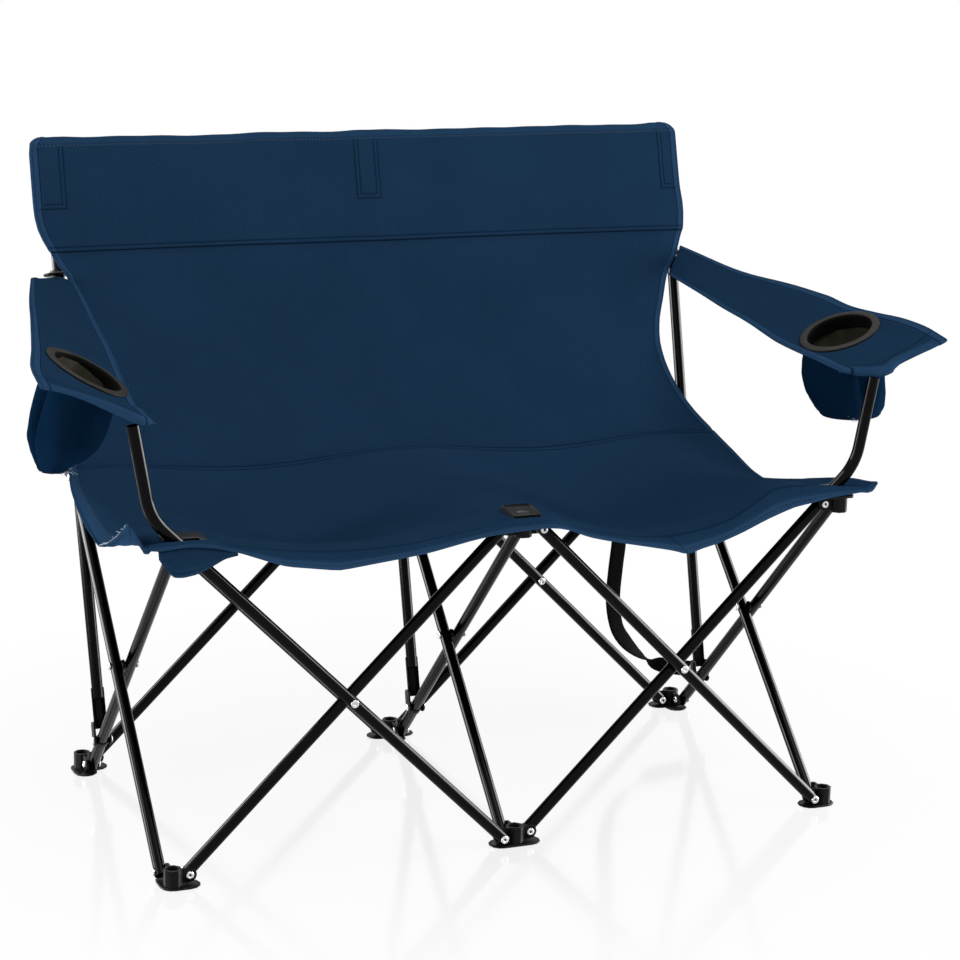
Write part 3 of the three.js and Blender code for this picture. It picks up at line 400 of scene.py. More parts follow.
# %% Straight tubes
TUBE_R = 8
TUBE_WALL = 1.5
PAST = 6  # tube beyond its end pivots
SIDES = 32
LAYER = 10  # tube centre from the plate between two tubes
PANEL = 470
PIVOT_IN = 22
PIVOT_BACK = 23.5
PIVOT_Z = 14
RISE = 420
SPAN = PANEL - 2 * PIVOT_IN
DEPTH = SPAN + 2 * PIVOT_BACK
HUB_Z = PIVOT_Z + RISE
AXES = {"left": -PANEL, "centre": 0, "right": PANEL}
# each crossed tube: x of its foot, the way it leans, and the side of the plates it is on
CROSS = {"a": (-PANEL, 1, 1), "b": (0, -1, -1), "c": (0, 1, 1), "d": (PANEL, -1, -1)}


def settle(piece):
    """Puts a piece's place and turn into its mesh, so that its object sits at the origin."""
    only(piece)
    bpy.ops.object.transform_apply(location=True, rotation=True, scale=True)


def apply_modifiers(piece):
    only(piece)
    for modifier in list(piece.modifiers):
        bpy.ops.object.modifier_apply(modifier=modifier.name)


def rod(name, start, end, radius, sides=SIDES, ends="NGON"):
    """A cylinder between two points; radius in mm."""
    along = end - start
    bpy.ops.object.select_all(action="DESELECT")
    bpy.ops.mesh.primitive_cylinder_add(
        vertices=sides, radius=radius * MM, depth=along.length, end_fill_type=ends,
        location=(start + end) / 2, rotation=along.to_track_quat("Z", "Y").to_euler())
    piece = bpy.context.object
    piece.name = name
    settle(piece)
    return piece


def walled(piece):
    """Gives an open skin of tube its wall, inwards."""
    face_outwards(piece)
    wall = piece.modifiers.new("wall", "SOLIDIFY")
    wall.thickness = TUBE_WALL * MM
    wall.offset = -1
    apply_modifiers(piece)
    smooth(piece, 40)
    return piece


def straight_tube(name, node, start, end):
    tube = walled(rod(name, start, end, TUBE_R, ends="NOTHING"))
    dress(tube, POWDER_COAT, "steel_tube", node, node)


def past(start, end):
    """Both ends of a tube, a little beyond its pivots."""
    along = (end - start).normalized() * PAST * MM
    return start - along, end + along


def cross_line(y, letter):
    """Foot pivot and hub pivot of a crossed tube in front or at the rear."""
    foot, side, layer = CROSS[letter]
    x = foot + side * PIVOT_IN
    return at(x, y + layer * LAYER, PIVOT_Z), at(x + side * SPAN, y + layer * LAYER, HUB_Z)


for place, y, letters in (("rear", DEPTH, "abcd"), ("front", 0, "ad")):
    for letter in letters:
        straight_tube(f"{place}_cross_{letter}", f"tube_{place}_{letter}", *past(*cross_line(y, letter)))
near, far = PIVOT_BACK, DEPTH - PIVOT_BACK
for name, x in AXES.items():
    back = at(x - LAYER, near, PIVOT_Z), at(x - LAYER, far, HUB_Z)
    fore = at(x + LAYER, far, PIVOT_Z), at(x + LAYER, near, HUB_Z)
    for lean, pair in (("back", back), ("fore", fore)):
        straight_tube(f"side_{lean}_{name}", f"tube_side_{lean}_{name}", *past(*pair))
print("crossed tubes: 12")

# %% [markdown]
# The three rear posts are straight too. Each is pinned to a side tube near its foot, stands in the loop of
# a rear hub and leans back. The outer two splay a little.

# %% Rear posts
POST_TOP_Z = 880
POST_PIN = 76  # a post's pin, up the side tube from its foot pivot
POST_START = 59  # from the pin
LEAN, SPLAY = math.radians(15.54), math.radians(1)
SIDE_TUBE_UP = np.array([0, -SPAN, RISE]) / math.hypot(SPAN, RISE)


def post_line(name):
    """Pivot of a rear post in mm, and its direction."""
    pivot = np.array([AXES[name] + LAYER, DEPTH - PIVOT_BACK, PIVOT_Z]) + SIDE_TUBE_UP * POST_PIN
    along = np.array([np.sign(AXES[name]) * math.tan(SPLAY), math.tan(LEAN), 1])
    return pivot, along / np.linalg.norm(along)


def post_at(name, z):
    """Where a rear post's middle line is at a height, in mm."""
    pivot, along = post_line(name)
    return pivot + along * ((z - pivot[2]) / along[2])


def across_post(along):
    """The way across a post, to the left."""
    way = np.array([-1, 0, 0]) + along * along[0]
    return way / np.linalg.norm(way)


for name in AXES:
    pivot, along = post_line(name)
    node = "rear_post_" + name
    straight_tube("post_" + name, node, at(*(pivot + along * POST_START)), at(*post_at(name, POST_TOP_Z)))
print("rear posts: 3")

# %% [markdown]
# ### Arm posts
#
# The two front tubes that start at the middle foot carry on past the outer hubs and bend up to the
# armrests. The bend is made as a tube bender does: a circle is drawn out straight, spun round the bend's
# centre, and drawn out again.

# %% Bent arm posts
BEND_X = 499
BEND_R = 78
BEND_STEPS = 14
ARM_LEAN = math.radians(10.2)


def arm_post(name, letter, side, top):
    """A tube that starts at the middle foot and bends up to a height in mm."""
    low, high = cross_line(0, letter)
    into = (high - low).normalized()
    start = low - into * PAST * MM
    corner = low + into * ((BEND_X * MM - abs(low.x)) / abs(into.x))
    rise = top * MM - corner.z
    end = corner + Vector((side * rise * math.tan(ARM_LEAN), 0, rise))
    out = (end - corner).normalized()
    turn = into.angle(out)
    trim = BEND_R * MM * math.tan(turn / 2)
    first, last = corner - into * trim, corner + out * trim
    towards = (out - into * into.dot(out)).normalized()
    centre = first + towards * BEND_R * MM
    bpy.ops.object.select_all(action="DESELECT")
    bpy.ops.mesh.primitive_circle_add(vertices=SIDES, radius=TUBE_R * MM, location=start,
                                      rotation=into.to_track_quat("Z", "Y").to_euler())
    piece = bpy.context.object
    piece.name = name
    settle(piece)
    edit_all(piece)
    bpy.ops.mesh.extrude_region_move(TRANSFORM_OT_translate={"value": first - start})
    bpy.ops.mesh.spin(steps=BEND_STEPS, angle=-turn, center=centre, axis=into.cross(out).normalized())
    bpy.ops.mesh.extrude_region_move(TRANSFORM_OT_translate={"value": end - last})
    bpy.ops.mesh.select_all(action="SELECT")
    bpy.ops.mesh.remove_doubles(threshold=1e-6)
    bpy.ops.object.mode_set(mode="OBJECT")
    print(name, "bend:", round(math.degrees(turn), 1), "degrees")
    return walled(piece)


for letter, side, top in (("b", -1, 600.4), ("c", 1, 603.6)):
    node = "tube_front_" + letter
    dress(arm_post("front_arm_" + letter, letter, side, top), POWDER_COAT, "steel_tube", node, node)

# %% [markdown]
# ## Feet, hubs and clamp plates
#
# These are black mouldings whose CAD solids already have the right form, with sharp edges. A mould leaves
# every edge a little round. So each solid is copied, its loose triangles are merged into flat faces, and
# its edges are bevelled.

# %% Moulded pieces
EDGE_MM = 0.7
FLAT_DEGREES = 2  # triangles closer than this are one face
EDGE_DEGREES = 28


def bevelled(piece, width, degrees):
    """Rounds a piece's edges that are sharper than an angle; width in mm."""
    bevel = piece.modifiers.new("rounded edge", "BEVEL")
    bevel.width = width * MM
    bevel.segments = 2
    bevel.limit_method = "ANGLE"
    bevel.angle_limit = math.radians(degrees)
    apply_modifiers(piece)


def moulded(name, node):
    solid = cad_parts[node]
    piece = bpy.data.objects.new(name, solid.data.copy())
    scene.collection.objects.link(piece)
    piece.data.transform(solid.matrix_world)
    edit_all(piece)
    bpy.ops.mesh.remove_doubles(threshold=1e-5)
    bpy.ops.mesh.dissolve_limited(angle_limit=math.radians(FLAT_DEGREES))
    bpy.ops.object.mode_set(mode="OBJECT")
    bevelled(piece, EDGE_MM, EDGE_DEGREES)
    smooth(piece, 30)
    return piece


for name in AXES:
    for place in ("front", "rear"):
        foot = f"foot_{place}_{name}"
        dress(moulded(f"shoe_{foot}", foot), NYLON, "black_plastic", foot, foot)
        hub = f"hub_{place}_{name}"
        dress(moulded(f"moulded_{hub}", hub), NYLON, "black_plastic", hub, hub)
    clamp = "clamp_plate_" + name
    if name != "centre":
        dress(moulded("seat_" + clamp, clamp), NYLON, "black_plastic", "hub_front_" + name, clamp)
print("mouldings: 14")

# %% [markdown]
# The middle plate has round corners, a square groove and an oval button. The corners are bevelled upright
# edges, and the groove is the top face, inset three times.

# %% Middle clamp plate
PLATE_NARROW = 0.88  # against the CAD plate, once as a block and once more with its groove
PLATE_CORNER = 5
PLATE_INSETS = ((5.5, 0), (1.2, -0.9), (1.2, 0.9))  # in, up


def pick(mesh, edges=(), faces=()):
    """Selects these edges and faces of a mesh and nothing else."""
    for items, chosen in ((mesh.vertices, ()), (mesh.edges, edges), (mesh.polygons, faces)):
        for item in items:
            item.select = item.index in chosen


copy = moulded("plate_copy", "clamp_plate_centre")
corners = np.array(copy.bound_box)
bpy.data.objects.remove(copy)
low, high = corners.min(axis=0), corners.max(axis=0)
bpy.ops.object.select_all(action="DESELECT")
bpy.ops.mesh.primitive_cube_add(size=1, location=(low + high) / 2)
plate = bpy.context.object
plate.name = "seat_clamp_plate_centre"
plate.scale = (high - low) * np.array([PLATE_NARROW, 1, 1])
settle(plate)
heights = [vertex.co.z for vertex in plate.data.vertices]
upright = [edge.index for edge in plate.data.edges
           if abs(heights[edge.vertices[0]] - heights[edge.vertices[1]]) > MM]
pick(plate.data, edges=upright)
bpy.ops.object.mode_set(mode="EDIT")
bpy.ops.mesh.select_mode(type="EDGE")
bpy.ops.mesh.bevel(offset=PLATE_CORNER * MM, segments=5, affect="EDGES")
bpy.ops.object.mode_set(mode="OBJECT")
top_face = max((face for face in plate.data.polygons if face.normal.z > 0.99), key=lambda face: face.area)
pick(plate.data, faces=[top_face.index])
bpy.ops.object.mode_set(mode="EDIT")
bpy.ops.mesh.select_mode(type="FACE")
for inwards, up in PLATE_INSETS:
    bpy.ops.mesh.inset(thickness=inwards * MM, depth=up * MM)
bpy.ops.object.mode_set(mode="OBJECT")
smooth(plate, 30)
dress(plate, NYLON, "black_plastic", "hub_front_centre", "clamp_plate_centre")
print("middle plate:", len(plate.data.polygons), "faces")

# %% Plate button
BUTTON_R = 9
BUTTON_AT = at(0, 6, 453.6)
BUTTON_SHAPE = (1.25, 0.8, 0.24)
PLATE_MIDDLE = at(0, 6, 452)
PLATE_LEAN = math.radians(5)
bpy.ops.object.select_all(action="DESELECT")
bpy.ops.mesh.primitive_uv_sphere_add(segments=24, ring_count=12, radius=BUTTON_R * MM, location=BUTTON_AT)
button = bpy.context.object
button.name = "plate_button"
button.scale = BUTTON_SHAPE
settle(button)
smooth(button, 60)
dress(button, NYLON, "black_plastic", "hub_front_centre")
centre = Matrix.Translation(PLATE_MIDDLE)
lean = Matrix.Rotation(PLATE_LEAN, 4, "X") @ Matrix.Scale(PLATE_NARROW, 4, (1, 0, 0))
for piece in (plate, button):
    piece.data.transform(centre @ lean @ centre.inverted())
print("button:", len(button.data.polygons), "faces")

# %% [markdown]
# ## Rivets, forks, collars and cup rings
#
# Most of these are round, so half of their outline is drawn and spun. The rivets are tubular: a low dome
# with a small hollow in the middle.


# %% Turned shapes
def turned(name, outline, sides, closed=True):
    """A round piece spun about Z from an outline of (radius, height) in mm."""
    verts = [(r * MM, 0, h * MM) for r, h in outline]
    edges = [(i, i + 1) for i in range(len(verts) - 1)]
    if closed:
        edges.append((len(verts) - 1, 0))
    piece = new_mesh(name, verts, [], edges)
    edit_all(piece)
    bpy.ops.mesh.spin(steps=sides, angle=2 * math.pi, center=(0, 0, 0), axis=(0, 0, 1))
    bpy.ops.mesh.select_all(action="SELECT")
    bpy.ops.mesh.remove_doubles(threshold=1e-6)
    bpy.ops.object.mode_set(mode="OBJECT")
    face_outwards(piece)
    return piece


def stood(piece, centre, axis):
    """Moves a piece spun about Z so that its Z runs along an axis from a centre."""
    turn = Vector(axis).to_track_quat("Z", "Y").to_matrix().to_4x4()
    piece.data.transform(Matrix.Translation(centre) @ turn)
    return piece


HEAD = [(0, 1.2), (1.3, 1.25), (1.9, 2.2), (2.6, 2.65), (3.8, 2.55), (4.7, 2.3), (5.2, 1.8), (5.3, 0.9),
        (5.2, 0.0), (0, 0)]
rivet_head = turned("rivet_head", HEAD, 24, closed=False)
print("rivet head:", len(rivet_head.data.polygons), "faces")

# %% Rivets
FAR_HEAD = LAYER + TUBE_R + 0.05  # a pin's head on the tube, from the plate's middle
NEAR_HEAD = 1.72  # its head on the plate
FORK_HEAD = 12.1  # a fork pin's heads, from the post's middle
Y_AXIS, X_AXIS = Vector((0, 1, 0)), Vector((1, 0, 0))


def copied(pattern):
    """A second piece like a pattern, with its own mesh."""
    piece = pattern.copy()
    piece.data = pattern.data.copy()
    scene.collection.objects.link(piece)
    return piece


def joined(name, pieces):
    """Several objects made one."""
    only(*pieces)
    bpy.ops.object.join()
    pieces[0].name = name
    return pieces[0]


def head(centre, axis):
    return stood(copied(rivet_head), centre, axis)


def two_heads(centre, axis, near=FAR_HEAD, far=FAR_HEAD):
    """The two heads of a pin along an axis."""
    return [head(centre + axis * (far * MM), axis), head(centre - axis * (near * MM), -axis)]


def rivets(name, heads, body, *nodes):
    piece = joined(name, heads)
    smooth(piece, 40)
    dress(piece, NICKEL, "rivet_steel", body, *nodes)


# for each foot and hub, the ways its crossed tubes go and the side of the plate each is on
FOOT_SIDES = {"left": [(1, 1)], "centre": [(-1, -1), (1, 1)], "right": [(-1, -1)]}
HUB_SIDES = {"left": [(1, -1)], "centre": [(-1, 1), (1, -1)], "right": [(-1, 1)]}
FINS = {("foot", "front"): (1, -1), ("foot", "rear"): (-1, 1), ("hub", "front"): (1, 1),
        ("hub", "rear"): (-1, -1)}  # which way the fin goes, and which side of it the tube is on
for (kind, place), (fin, fin_layer) in FINS.items():
    y = 0 if place == "front" else DEPTH
    z = PIVOT_Z if kind == "foot" else HUB_Z
    for name, x in AXES.items():
        heads = []
        for side, layer in (FOOT_SIDES if kind == "foot" else HUB_SIDES)[name]:
            heads += two_heads(at(x + side * PIVOT_IN, y, z), Y_AXIS * layer, NEAR_HEAD)
        heads += two_heads(at(x, y + fin * PIVOT_BACK, z), X_AXIS * fin_layer, NEAR_HEAD)
        rivets(f"rivets_{kind}_{place}_{name}", heads, f"{kind}_{place}_{name}")
for name in AXES:
    pivot, along = post_line(name)
    heads = two_heads(at(*pivot), Vector(across_post(along)), FORK_HEAD, FORK_HEAD)
    rivets("rivets_fork_" + name, heads, "rear_post_" + name)
print("sets of rivets: 15")

# %% [markdown]
# A rear post ends in a forked shoe. It is a half-round trough, open to the front so that the side tube can
# fold into it. Two ears carry on from it to a pin through that tube, and a clip round the tube keeps them
# in place.

# %% Post forks
TROUGH_IN, TROUGH_OUT = 8.2, 9.3  # radii
TROUGH_LOW, TROUGH_HIGH = 15, 73  # from the pin along the post
TROUGH_ANGLE = math.radians(97)  # each way from the back
EAR_IN, EAR_THICK, EAR_HIGH, EAR_R = 9.2, 3, 26, 8
EAR_TOP = [(EAR_HIGH - 3, -7), (EAR_HIGH, -4), (EAR_HIGH, 4), (EAR_HIGH - 3, 7)]
CLIP = [(8.05, -6), (8.8, -6), (9.1, -5.4), (9.1, 5.4), (8.8, 6), (8.05, 6)]
CLIP_DOWN = 3  # below the pin


def extruded(name, outline, push):
    """A flat outline pushed out into a plate, with its edges rounded."""
    piece = new_mesh(name, outline, [tuple(range(len(outline)))])
    edit_all(piece)
    bpy.ops.mesh.extrude_region_move(TRANSFORM_OT_translate={"value": push})
    bpy.ops.object.mode_set(mode="OBJECT")
    face_outwards(piece)
    bevelled(piece, 0.5, 40)
    return piece


turns = np.linspace(-TROUGH_ANGLE, TROUGH_ANGLE, 25)
ring = [(TROUGH_OUT, turn) for turn in turns] + [(TROUGH_IN, turn) for turn in reversed(turns)]
ear = [(EAR_R * -math.sin(turn), EAR_R * math.cos(turn)) for turn in np.linspace(0, math.pi, 13)] + EAR_TOP
clip_up = Vector(SIDE_TUBE_UP)
for name in AXES:
    pivot, along = post_line(name)
    side_way = across_post(along)
    front_way = np.cross(along, side_way)
    low_end = pivot + along * TROUGH_LOW
    outline = [at(*(low_end + r * (side_way * math.sin(turn) - front_way * math.cos(turn))))
               for r, turn in ring]
    parts = [extruded("trough", outline, Vector(along * (TROUGH_HIGH - TROUGH_LOW) * MM))]
    for side in (-1, 1):
        outline = [at(*(pivot + along * a + front_way * f + side_way * side * EAR_IN)) for a, f in ear]
        parts.append(extruded("ear", outline, Vector(side_way * side * EAR_THICK * MM)))
    fork = joined("fork_" + name, parts)
    smooth(fork, 40)
    dress(fork, NYLON, "black_plastic", "rear_post_" + name, "post_shoe_" + name)
    clip = stood(turned("tube_clip_" + name, CLIP, 32), at(*pivot) - clip_up * CLIP_DOWN * MM, clip_up)
    smooth(clip, 40)
    dress(clip, NYLON, "black_plastic", "tube_side_fore_" + name)
print("forks and clips: 3")

# %% [markdown]
# Where two tubes cross, a long rivet goes through both, with a plastic washer between them.

# %% Crossing rivets
WASHER = [(2.6, -1.65), (6.6, -1.65), (7.0, -1.2), (7.0, 1.2), (6.6, 1.65), (2.6, 1.65)]
SHANK_R = 2.4
SHANK = [(0, -FAR_HEAD), (SHANK_R, -FAR_HEAD), (SHANK_R, FAR_HEAD), (0, FAR_HEAD)]
RIVET_BODIES = {"left": "b", "right": "c"}
washer_ring = turned("washer_ring", WASHER, 24)
shank = turned("shank", SHANK, 16, closed=False)
middle_z = PIVOT_Z + RISE / 2
crossings = {f"{place}_{side}": (at(x, y, middle_z), Y_AXIS)
             for place, y in (("front", 0), ("rear", DEPTH))
             for side, x in (("left", -PANEL / 2), ("right", PANEL / 2))}
crossings.update({"side_" + name: (at(x, DEPTH / 2, middle_z), X_AXIS) for name, x in AXES.items()})
for place, (centre, axis) in crossings.items():
    where, side = place.split("_")
    body = f"tube_side_back_{side}" if where == "side" else f"tube_{where}_{RIVET_BODIES[side]}"
    stem = stood(copied(shank), centre, axis)
    rivets("crossing_" + place, [stem] + two_heads(centre, axis), body, "rivet_" + place)
    washer = stood(copied(washer_ring), centre, axis)
    washer.name = "washer_" + place
    smooth(washer, 40)
    dress(washer, NYLON, "black_plastic", body)
for pattern in (rivet_head, washer_ring, shank):
    bpy.data.objects.remove(pattern)
print("crossing rivets:", len(crossings))

# %% [markdown]
# A flat disc on each outer rear post stops the armrest from sliding up. A wide ring lines each cup hole,
# and below it a short sleeve goes down into the pocket, painted near black and nearly without gloss for
# the shade inside the cup's mouth.

# %% Collars
COLLAR = [(8.2, 0), (20.0, 0), (21.2, 0.8), (21.5, 2.0), (20.6, 3.1), (17.5, 3.7), (12.5, 4.0), (11.5, 7.0),
          (10.6, 7.6), (8.2, 7.6)]
COLLAR_Z = 697
SIDE_OF = {"left": -1, "right": 1}
for name in SIDE_OF:
    collar = turned("collar_" + name, COLLAR, 40)
    stood(collar, at(*post_at(name, COLLAR_Z)), post_line(name)[1])
    smooth(collar)
    dress(collar, NYLON, "black_plastic", "rear_post_" + name, "post_collar_" + name)
print("collars: 2")

# %% Cup rings and sleeves
# each cup: its place, and how it tilts along x and y; both are given for the right side
CUPS = {"left": (np.array([536.0, 147, 637.2]), (0.52, 0.21)),
        "right": (np.array([545.0, 147, 642.2]), (0.42, 0.11))}
CUP_UP = {name: np.array([-tilt[0], -tilt[1], 1]) / math.hypot(*tilt, 1) for name, (_, tilt) in CUPS.items()}
RING = [(46.5, -2), (48.1, -2), (48.1, -0.4), (50, 0.2), (57.2, 0.2), (57.7, 0.9), (57.6, 1.8), (56.9, 2.5),
        (55.6, 2.8), (49, 3.4), (47.4, 3.2), (46.7, 2.4), (46.5, 1.0)]
CUP_WALL = [(46.5, -18), (48.1, -18), (48.1, -2), (46.5, -2)]


def cup_frame(name):
    """The middle of a cup's mouth and the way up from it, on the cup's own side."""
    side = SIDE_OF[name]
    cup, up = CUPS[name][0], CUP_UP[name]
    return at(side * cup[0], cup[1], cup[2]), (side * up[0], up[1], up[2])


def flatten(piece):
    """Gives a soft piece of a cup its own mesh."""
    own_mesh(piece)


for name in SIDE_OF:
    ring = turned("ring_" + name, RING, 72)
    wall = turned("cup_wall_" + name, CUP_WALL, 72)
    for piece in (ring, wall):
        stood(piece, *cup_frame(name))
        smooth(piece, 40)
    dress(ring, RING_ABS, "ring_plastic", "armrest_front_" + name, "cup_ring_" + name)
    # the sleeve is painted near black for the shade in the cup's mouth
    dress(wall, SHADE_SLEEVE, "black_plastic", "armrest_front_" + name)
    flatten(wall)
print("rings and sleeves: 4")

# %% [markdown]
# ## Cloth
#
# The cloth is thin, tight in places and slack in others. A cloth simulation would blur the hems and seams
# that show most here, and the hang of a sling between fixed points is nearly a parabola. So each cloth is a
# fine grid of points on its hung form, with closer rows where a hem or seam is sewn. Doubled cloth stands
# proud, stitches pull in, and the whole is closed with a thin wall.


# %% Grid places and sewn lines
HEM_PLACES = [0, 0.8, 1.6, 2.5, 3.4, 4.6, 8.4, 9.6, 10.5, 11.4, 12.4, 13.4, 15.5]  # from the edge
LINE_PLACES = [-2.2, -1.1, -0.5, 0, 0.5, 1.1, 2.2]  # across a sewn line
EDGE_LINE, HEM_LINE = 2.5, 10.8  # the two rows of stitches in a hem
HEM_END = 11.6, 13.2  # the doubled cloth thins out here
HEM_RISE, STITCH_SINK, EDGE_ROUND = 0.9, 0.5, 0.7
CLOSEST = 0.15  # two places nearer than this are one


def ease(value, low, high):
    """Smooth step from 0 at low to 1 at high."""
    share = np.clip((np.asarray(value, float) - low) / (high - low), 0, 1)
    return share * share * (3 - 2 * share)


def hang(share):
    """A parabola: 0 at both ends and 1 in the middle."""
    return 4 * share * (1 - share)


def places(length, pitch, lines=(), start_hem=True, end_hem=True):
    """Grid places along one side in mm: close together in hems and at sewn lines."""
    marks = list(np.linspace(0, length, max(2, round(length / pitch) + 1)))
    close = [line + d for line in lines for d in LINE_PLACES]
    close += HEM_PLACES if start_hem else [0]
    close += [length - d for d in HEM_PLACES] if end_hem else [length]
    kept = [m for m in marks if all(abs(m - c) > pitch * 0.3 for c in close)]
    every = sorted(set(round(p, 4) for p in kept + close if 0 <= p <= length))
    return np.array([p for i, p in enumerate(every) if i == 0 or p - every[i - 1] > CLOSEST])


def sewn(distance, line, wide=0.8):
    """1 on a row of stitches, falling to 0 beside it."""
    return np.exp(-(((distance - line) / wide) ** 2))


def hem_form(distance):
    """(lift, groove, hem) of a turned and sewn edge at a distance from it."""
    double = 1 - ease(distance, *HEM_END)
    # the groove sinks the stitch rows and also marks painted shade in them; double marks a painted highlight
    # on the hem
    groove_shade = np.maximum(0.45 * sewn(distance, EDGE_LINE), sewn(distance, HEM_LINE))
    lift = HEM_RISE * double - STITCH_SINK * groove_shade - EDGE_ROUND * (1 - ease(distance, 0, 1.8))
    return lift, groove_shade, double


def hem_sides(across, wide):
    """(lift, groove, hem) of a strip with both edges turned and sewn."""
    one, other = hem_form(across), hem_form(wide - across)
    return one[0] + other[0], np.maximum(one[1], other[1]), np.maximum(one[2], other[2])


def ripple(x, y, seed):
    """Small uneven waves, the same each run; about -1 to 1."""
    draw = np.random.default_rng(seed)
    total = 0
    for _ in range(6):
        angle, turn, long = draw.uniform(0, math.pi), draw.uniform(0, 2 * math.pi), draw.uniform(60, 210)
        total = total + np.sin((x * math.cos(angle) + y * math.sin(angle)) * 2 * math.pi / long + turn)
    return total / 4


print("a hem has", len(HEM_PLACES), "rows")

# %% Cloth from a grid
CLOTH_MM = 1.5


def paint(mesh, marks):
    """Writes values from 0 to 1 on the points of a mesh, for its material."""
    for name, values in marks.items():
        layer = mesh.attributes.new(name, "FLOAT", "POINT")
        layer.data.foreach_set("value", np.clip(values, 0, 1).astype(np.float32))


def lengths(points, axis):
    """Distance run along a grid of points."""
    steps = np.linalg.norm(np.diff(points, axis=axis), axis=2)
    return np.insert(np.cumsum(steps, axis=axis), 0, 0, axis=axis)


def cloth(name, points, lift=0.0, groove_shade=0.0, hem=0.0, thread=0.0, thick=CLOTH_MM):
    """A closed sheet under a grid of points in mm; its outer face is towards across x along."""
    rows, cols = points.shape[:2]
    one = np.ones((rows, cols))
    normal = np.cross(np.gradient(points, axis=1), np.gradient(points, axis=0))
    normal /= np.linalg.norm(normal, axis=2, keepdims=True)
    top = points + normal * (lift * one)[..., None]
    under = points - normal * (thick * one)[..., None]
    verts = [at(*p) for p in np.concatenate([top.reshape(-1, 3), under.reshape(-1, 3)])]
    half = rows * cols
    index = np.arange(half).reshape(rows, cols)
    a, b, c, d = index[:-1, :-1], index[:-1, 1:], index[1:, 1:], index[1:, :-1]
    upper = np.stack([a, b, c, d], axis=-1).reshape(-1, 4)
    lower = np.stack([a, d, c, b], axis=-1).reshape(-1, 4) + half
    faces = [tuple(f) for f in upper] + [tuple(f) for f in lower]
    rim = np.concatenate([index[0, :], index[1:, -1], index[-1, -2::-1], index[-2:0:-1, 0]])
    faces += [(int(q), int(p), int(p) + half, int(q) + half) for p, q in zip(rim, np.roll(rim, -1))]
    piece = new_mesh(name, verts, faces)
    mesh = piece.data
    u, v = lengths(points, 1), lengths(points, 0)
    u -= u[:, cols // 2 : cols // 2 + 1]
    places_uv = np.tile(np.stack([u, v], axis=-1).reshape(-1, 2) * MM, (2, 1))
    corner = np.empty(len(mesh.loops), dtype=np.int32)
    mesh.loops.foreach_get("vertex_index", corner)
    mesh.uv_layers.new(name="weave").data.foreach_set("uv", places_uv[corner].astype(np.float32).ravel())
    marks = {"groove_shade": groove_shade, "hem": hem, "thread": thread}
    paint(mesh, {mark: np.tile((values * one).ravel(), 2) for mark, values in marks.items()})
    smooth(piece, 50)
    print(f"{name}: {cols} x {rows} points")
    return piece


def cut_round(piece, radius, start, end, sides=SIDES):
    """Removes a round rod between two points from a piece."""
    tool = rod("room", start, end, radius, sides)
    trim = piece.modifiers.new("room", "BOOLEAN")
    trim.object = tool
    trim.solver = "EXACT"
    apply_modifiers(piece)
    bpy.data.objects.remove(tool)
    smooth(piece, 50)


print("cloth is", CLOTH_MM, "mm thick")

# %% [markdown]
# ### Back
#
# The back is sewn to the seat along the crease, curves up to the posts, narrows at the waist and widens to
# the top band. The band folds over the post ends and hangs down behind them, and three pockets are stitched
# there.

# %% Back outline
CREASE_Z = 449
BACK_MID = 8  # the posts stand beside the tubes, so the back sits to the right
BACK_TOP = 891
BAND_Z = 738
FOLD_Z = BACK_TOP - TUBE_R
CORNER = 16
LEAVES_POST_Z = 650  # below this height the back curves forward
CREASE_FORWARD = 46
GAP = 0.3  # between two CAD pieces that don't touch
BEFORE_POST = 2.8  # from a post and its gap to the front face
BACK_OUTLINE = [  # height, half of the width
    (440, 503), (449, 499), (458, 488), (474, 476), (495, 463), (520, 452), (546, 445), (572, 442),
    (600, 446), (630, 453), (660, 461), (693, 471), (716, 481), (733, 488), (742, 492), (752, 497),
    (764, 501), (778, 503), (900, 503)]


def back_half(z):
    heights, halves = zip(*BACK_OUTLINE)
    return sum(np.interp(z + d, heights, halves) for d in (-9, -5, 0, 5, 9)) / 5


def back_face(z):
    """Front face of the back at a height, before its bow."""
    pivot, along = post_line("centre")
    post = pivot[1] + (z - pivot[2]) * along[1] / along[2]
    forward = CREASE_FORWARD * np.clip((LEAVES_POST_Z - z) / (LEAVES_POST_Z - CREASE_Z), 0, 1) ** 2
    return post - (TUBE_R + GAP) / math.cos(LEAN) - BEFORE_POST - forward


def bay(x):
    """0 on a rear post, 1 halfway between two."""
    return hang(np.clip(np.abs(x - BACK_MID) / PANEL, 0, 1))


print("crease at y", round(float(back_face(CREASE_Z)), 1), "mm")

# %% [markdown]
# The grid's rows run up the front, over the fold and down behind it. The back is pulled a little out of
# shape: its left edge stands out beside the band, its right edge stands out below the band and is drawn in
# beside it, and the whole band hangs lower at the left. It makes room for the collars on the outer posts.

# %% Back grid
WIDE = 1006
ROW_START = CREASE_Z + 0.7
SEAM_ROWS, PATCH_ROWS, TOP_ROW = (288, 294), (344, 350), 430  # sewn rows, from the first row
PATCH_LINES = [40, 46, 479, 485, 509, 515, 974, 980]
columns = places(WIDE, 13, PATCH_LINES)
front_z = ROW_START + places(FOLD_Z - ROW_START, 12, [*SEAM_ROWS, *PATCH_ROWS, TOP_ROW], False, False)
front_z = np.concatenate([[CREASE_Z - 4.5, CREASE_Z - 2], front_z])  # tucked behind the seat
fold = np.linspace(0, math.pi, 10)[1:-1]
rear_z = FOLD_Z - places(FOLD_Z - BAND_Z, 14, [], False, True)
z = np.concatenate([front_z, FOLD_Z + TUBE_R * np.sin(fold), rear_z])[:, None]
behind = np.concatenate([np.zeros(len(front_z)), (1 - np.cos(fold)) / 2, np.ones(len(rear_z))])[:, None]
front_side = behind < 0.01
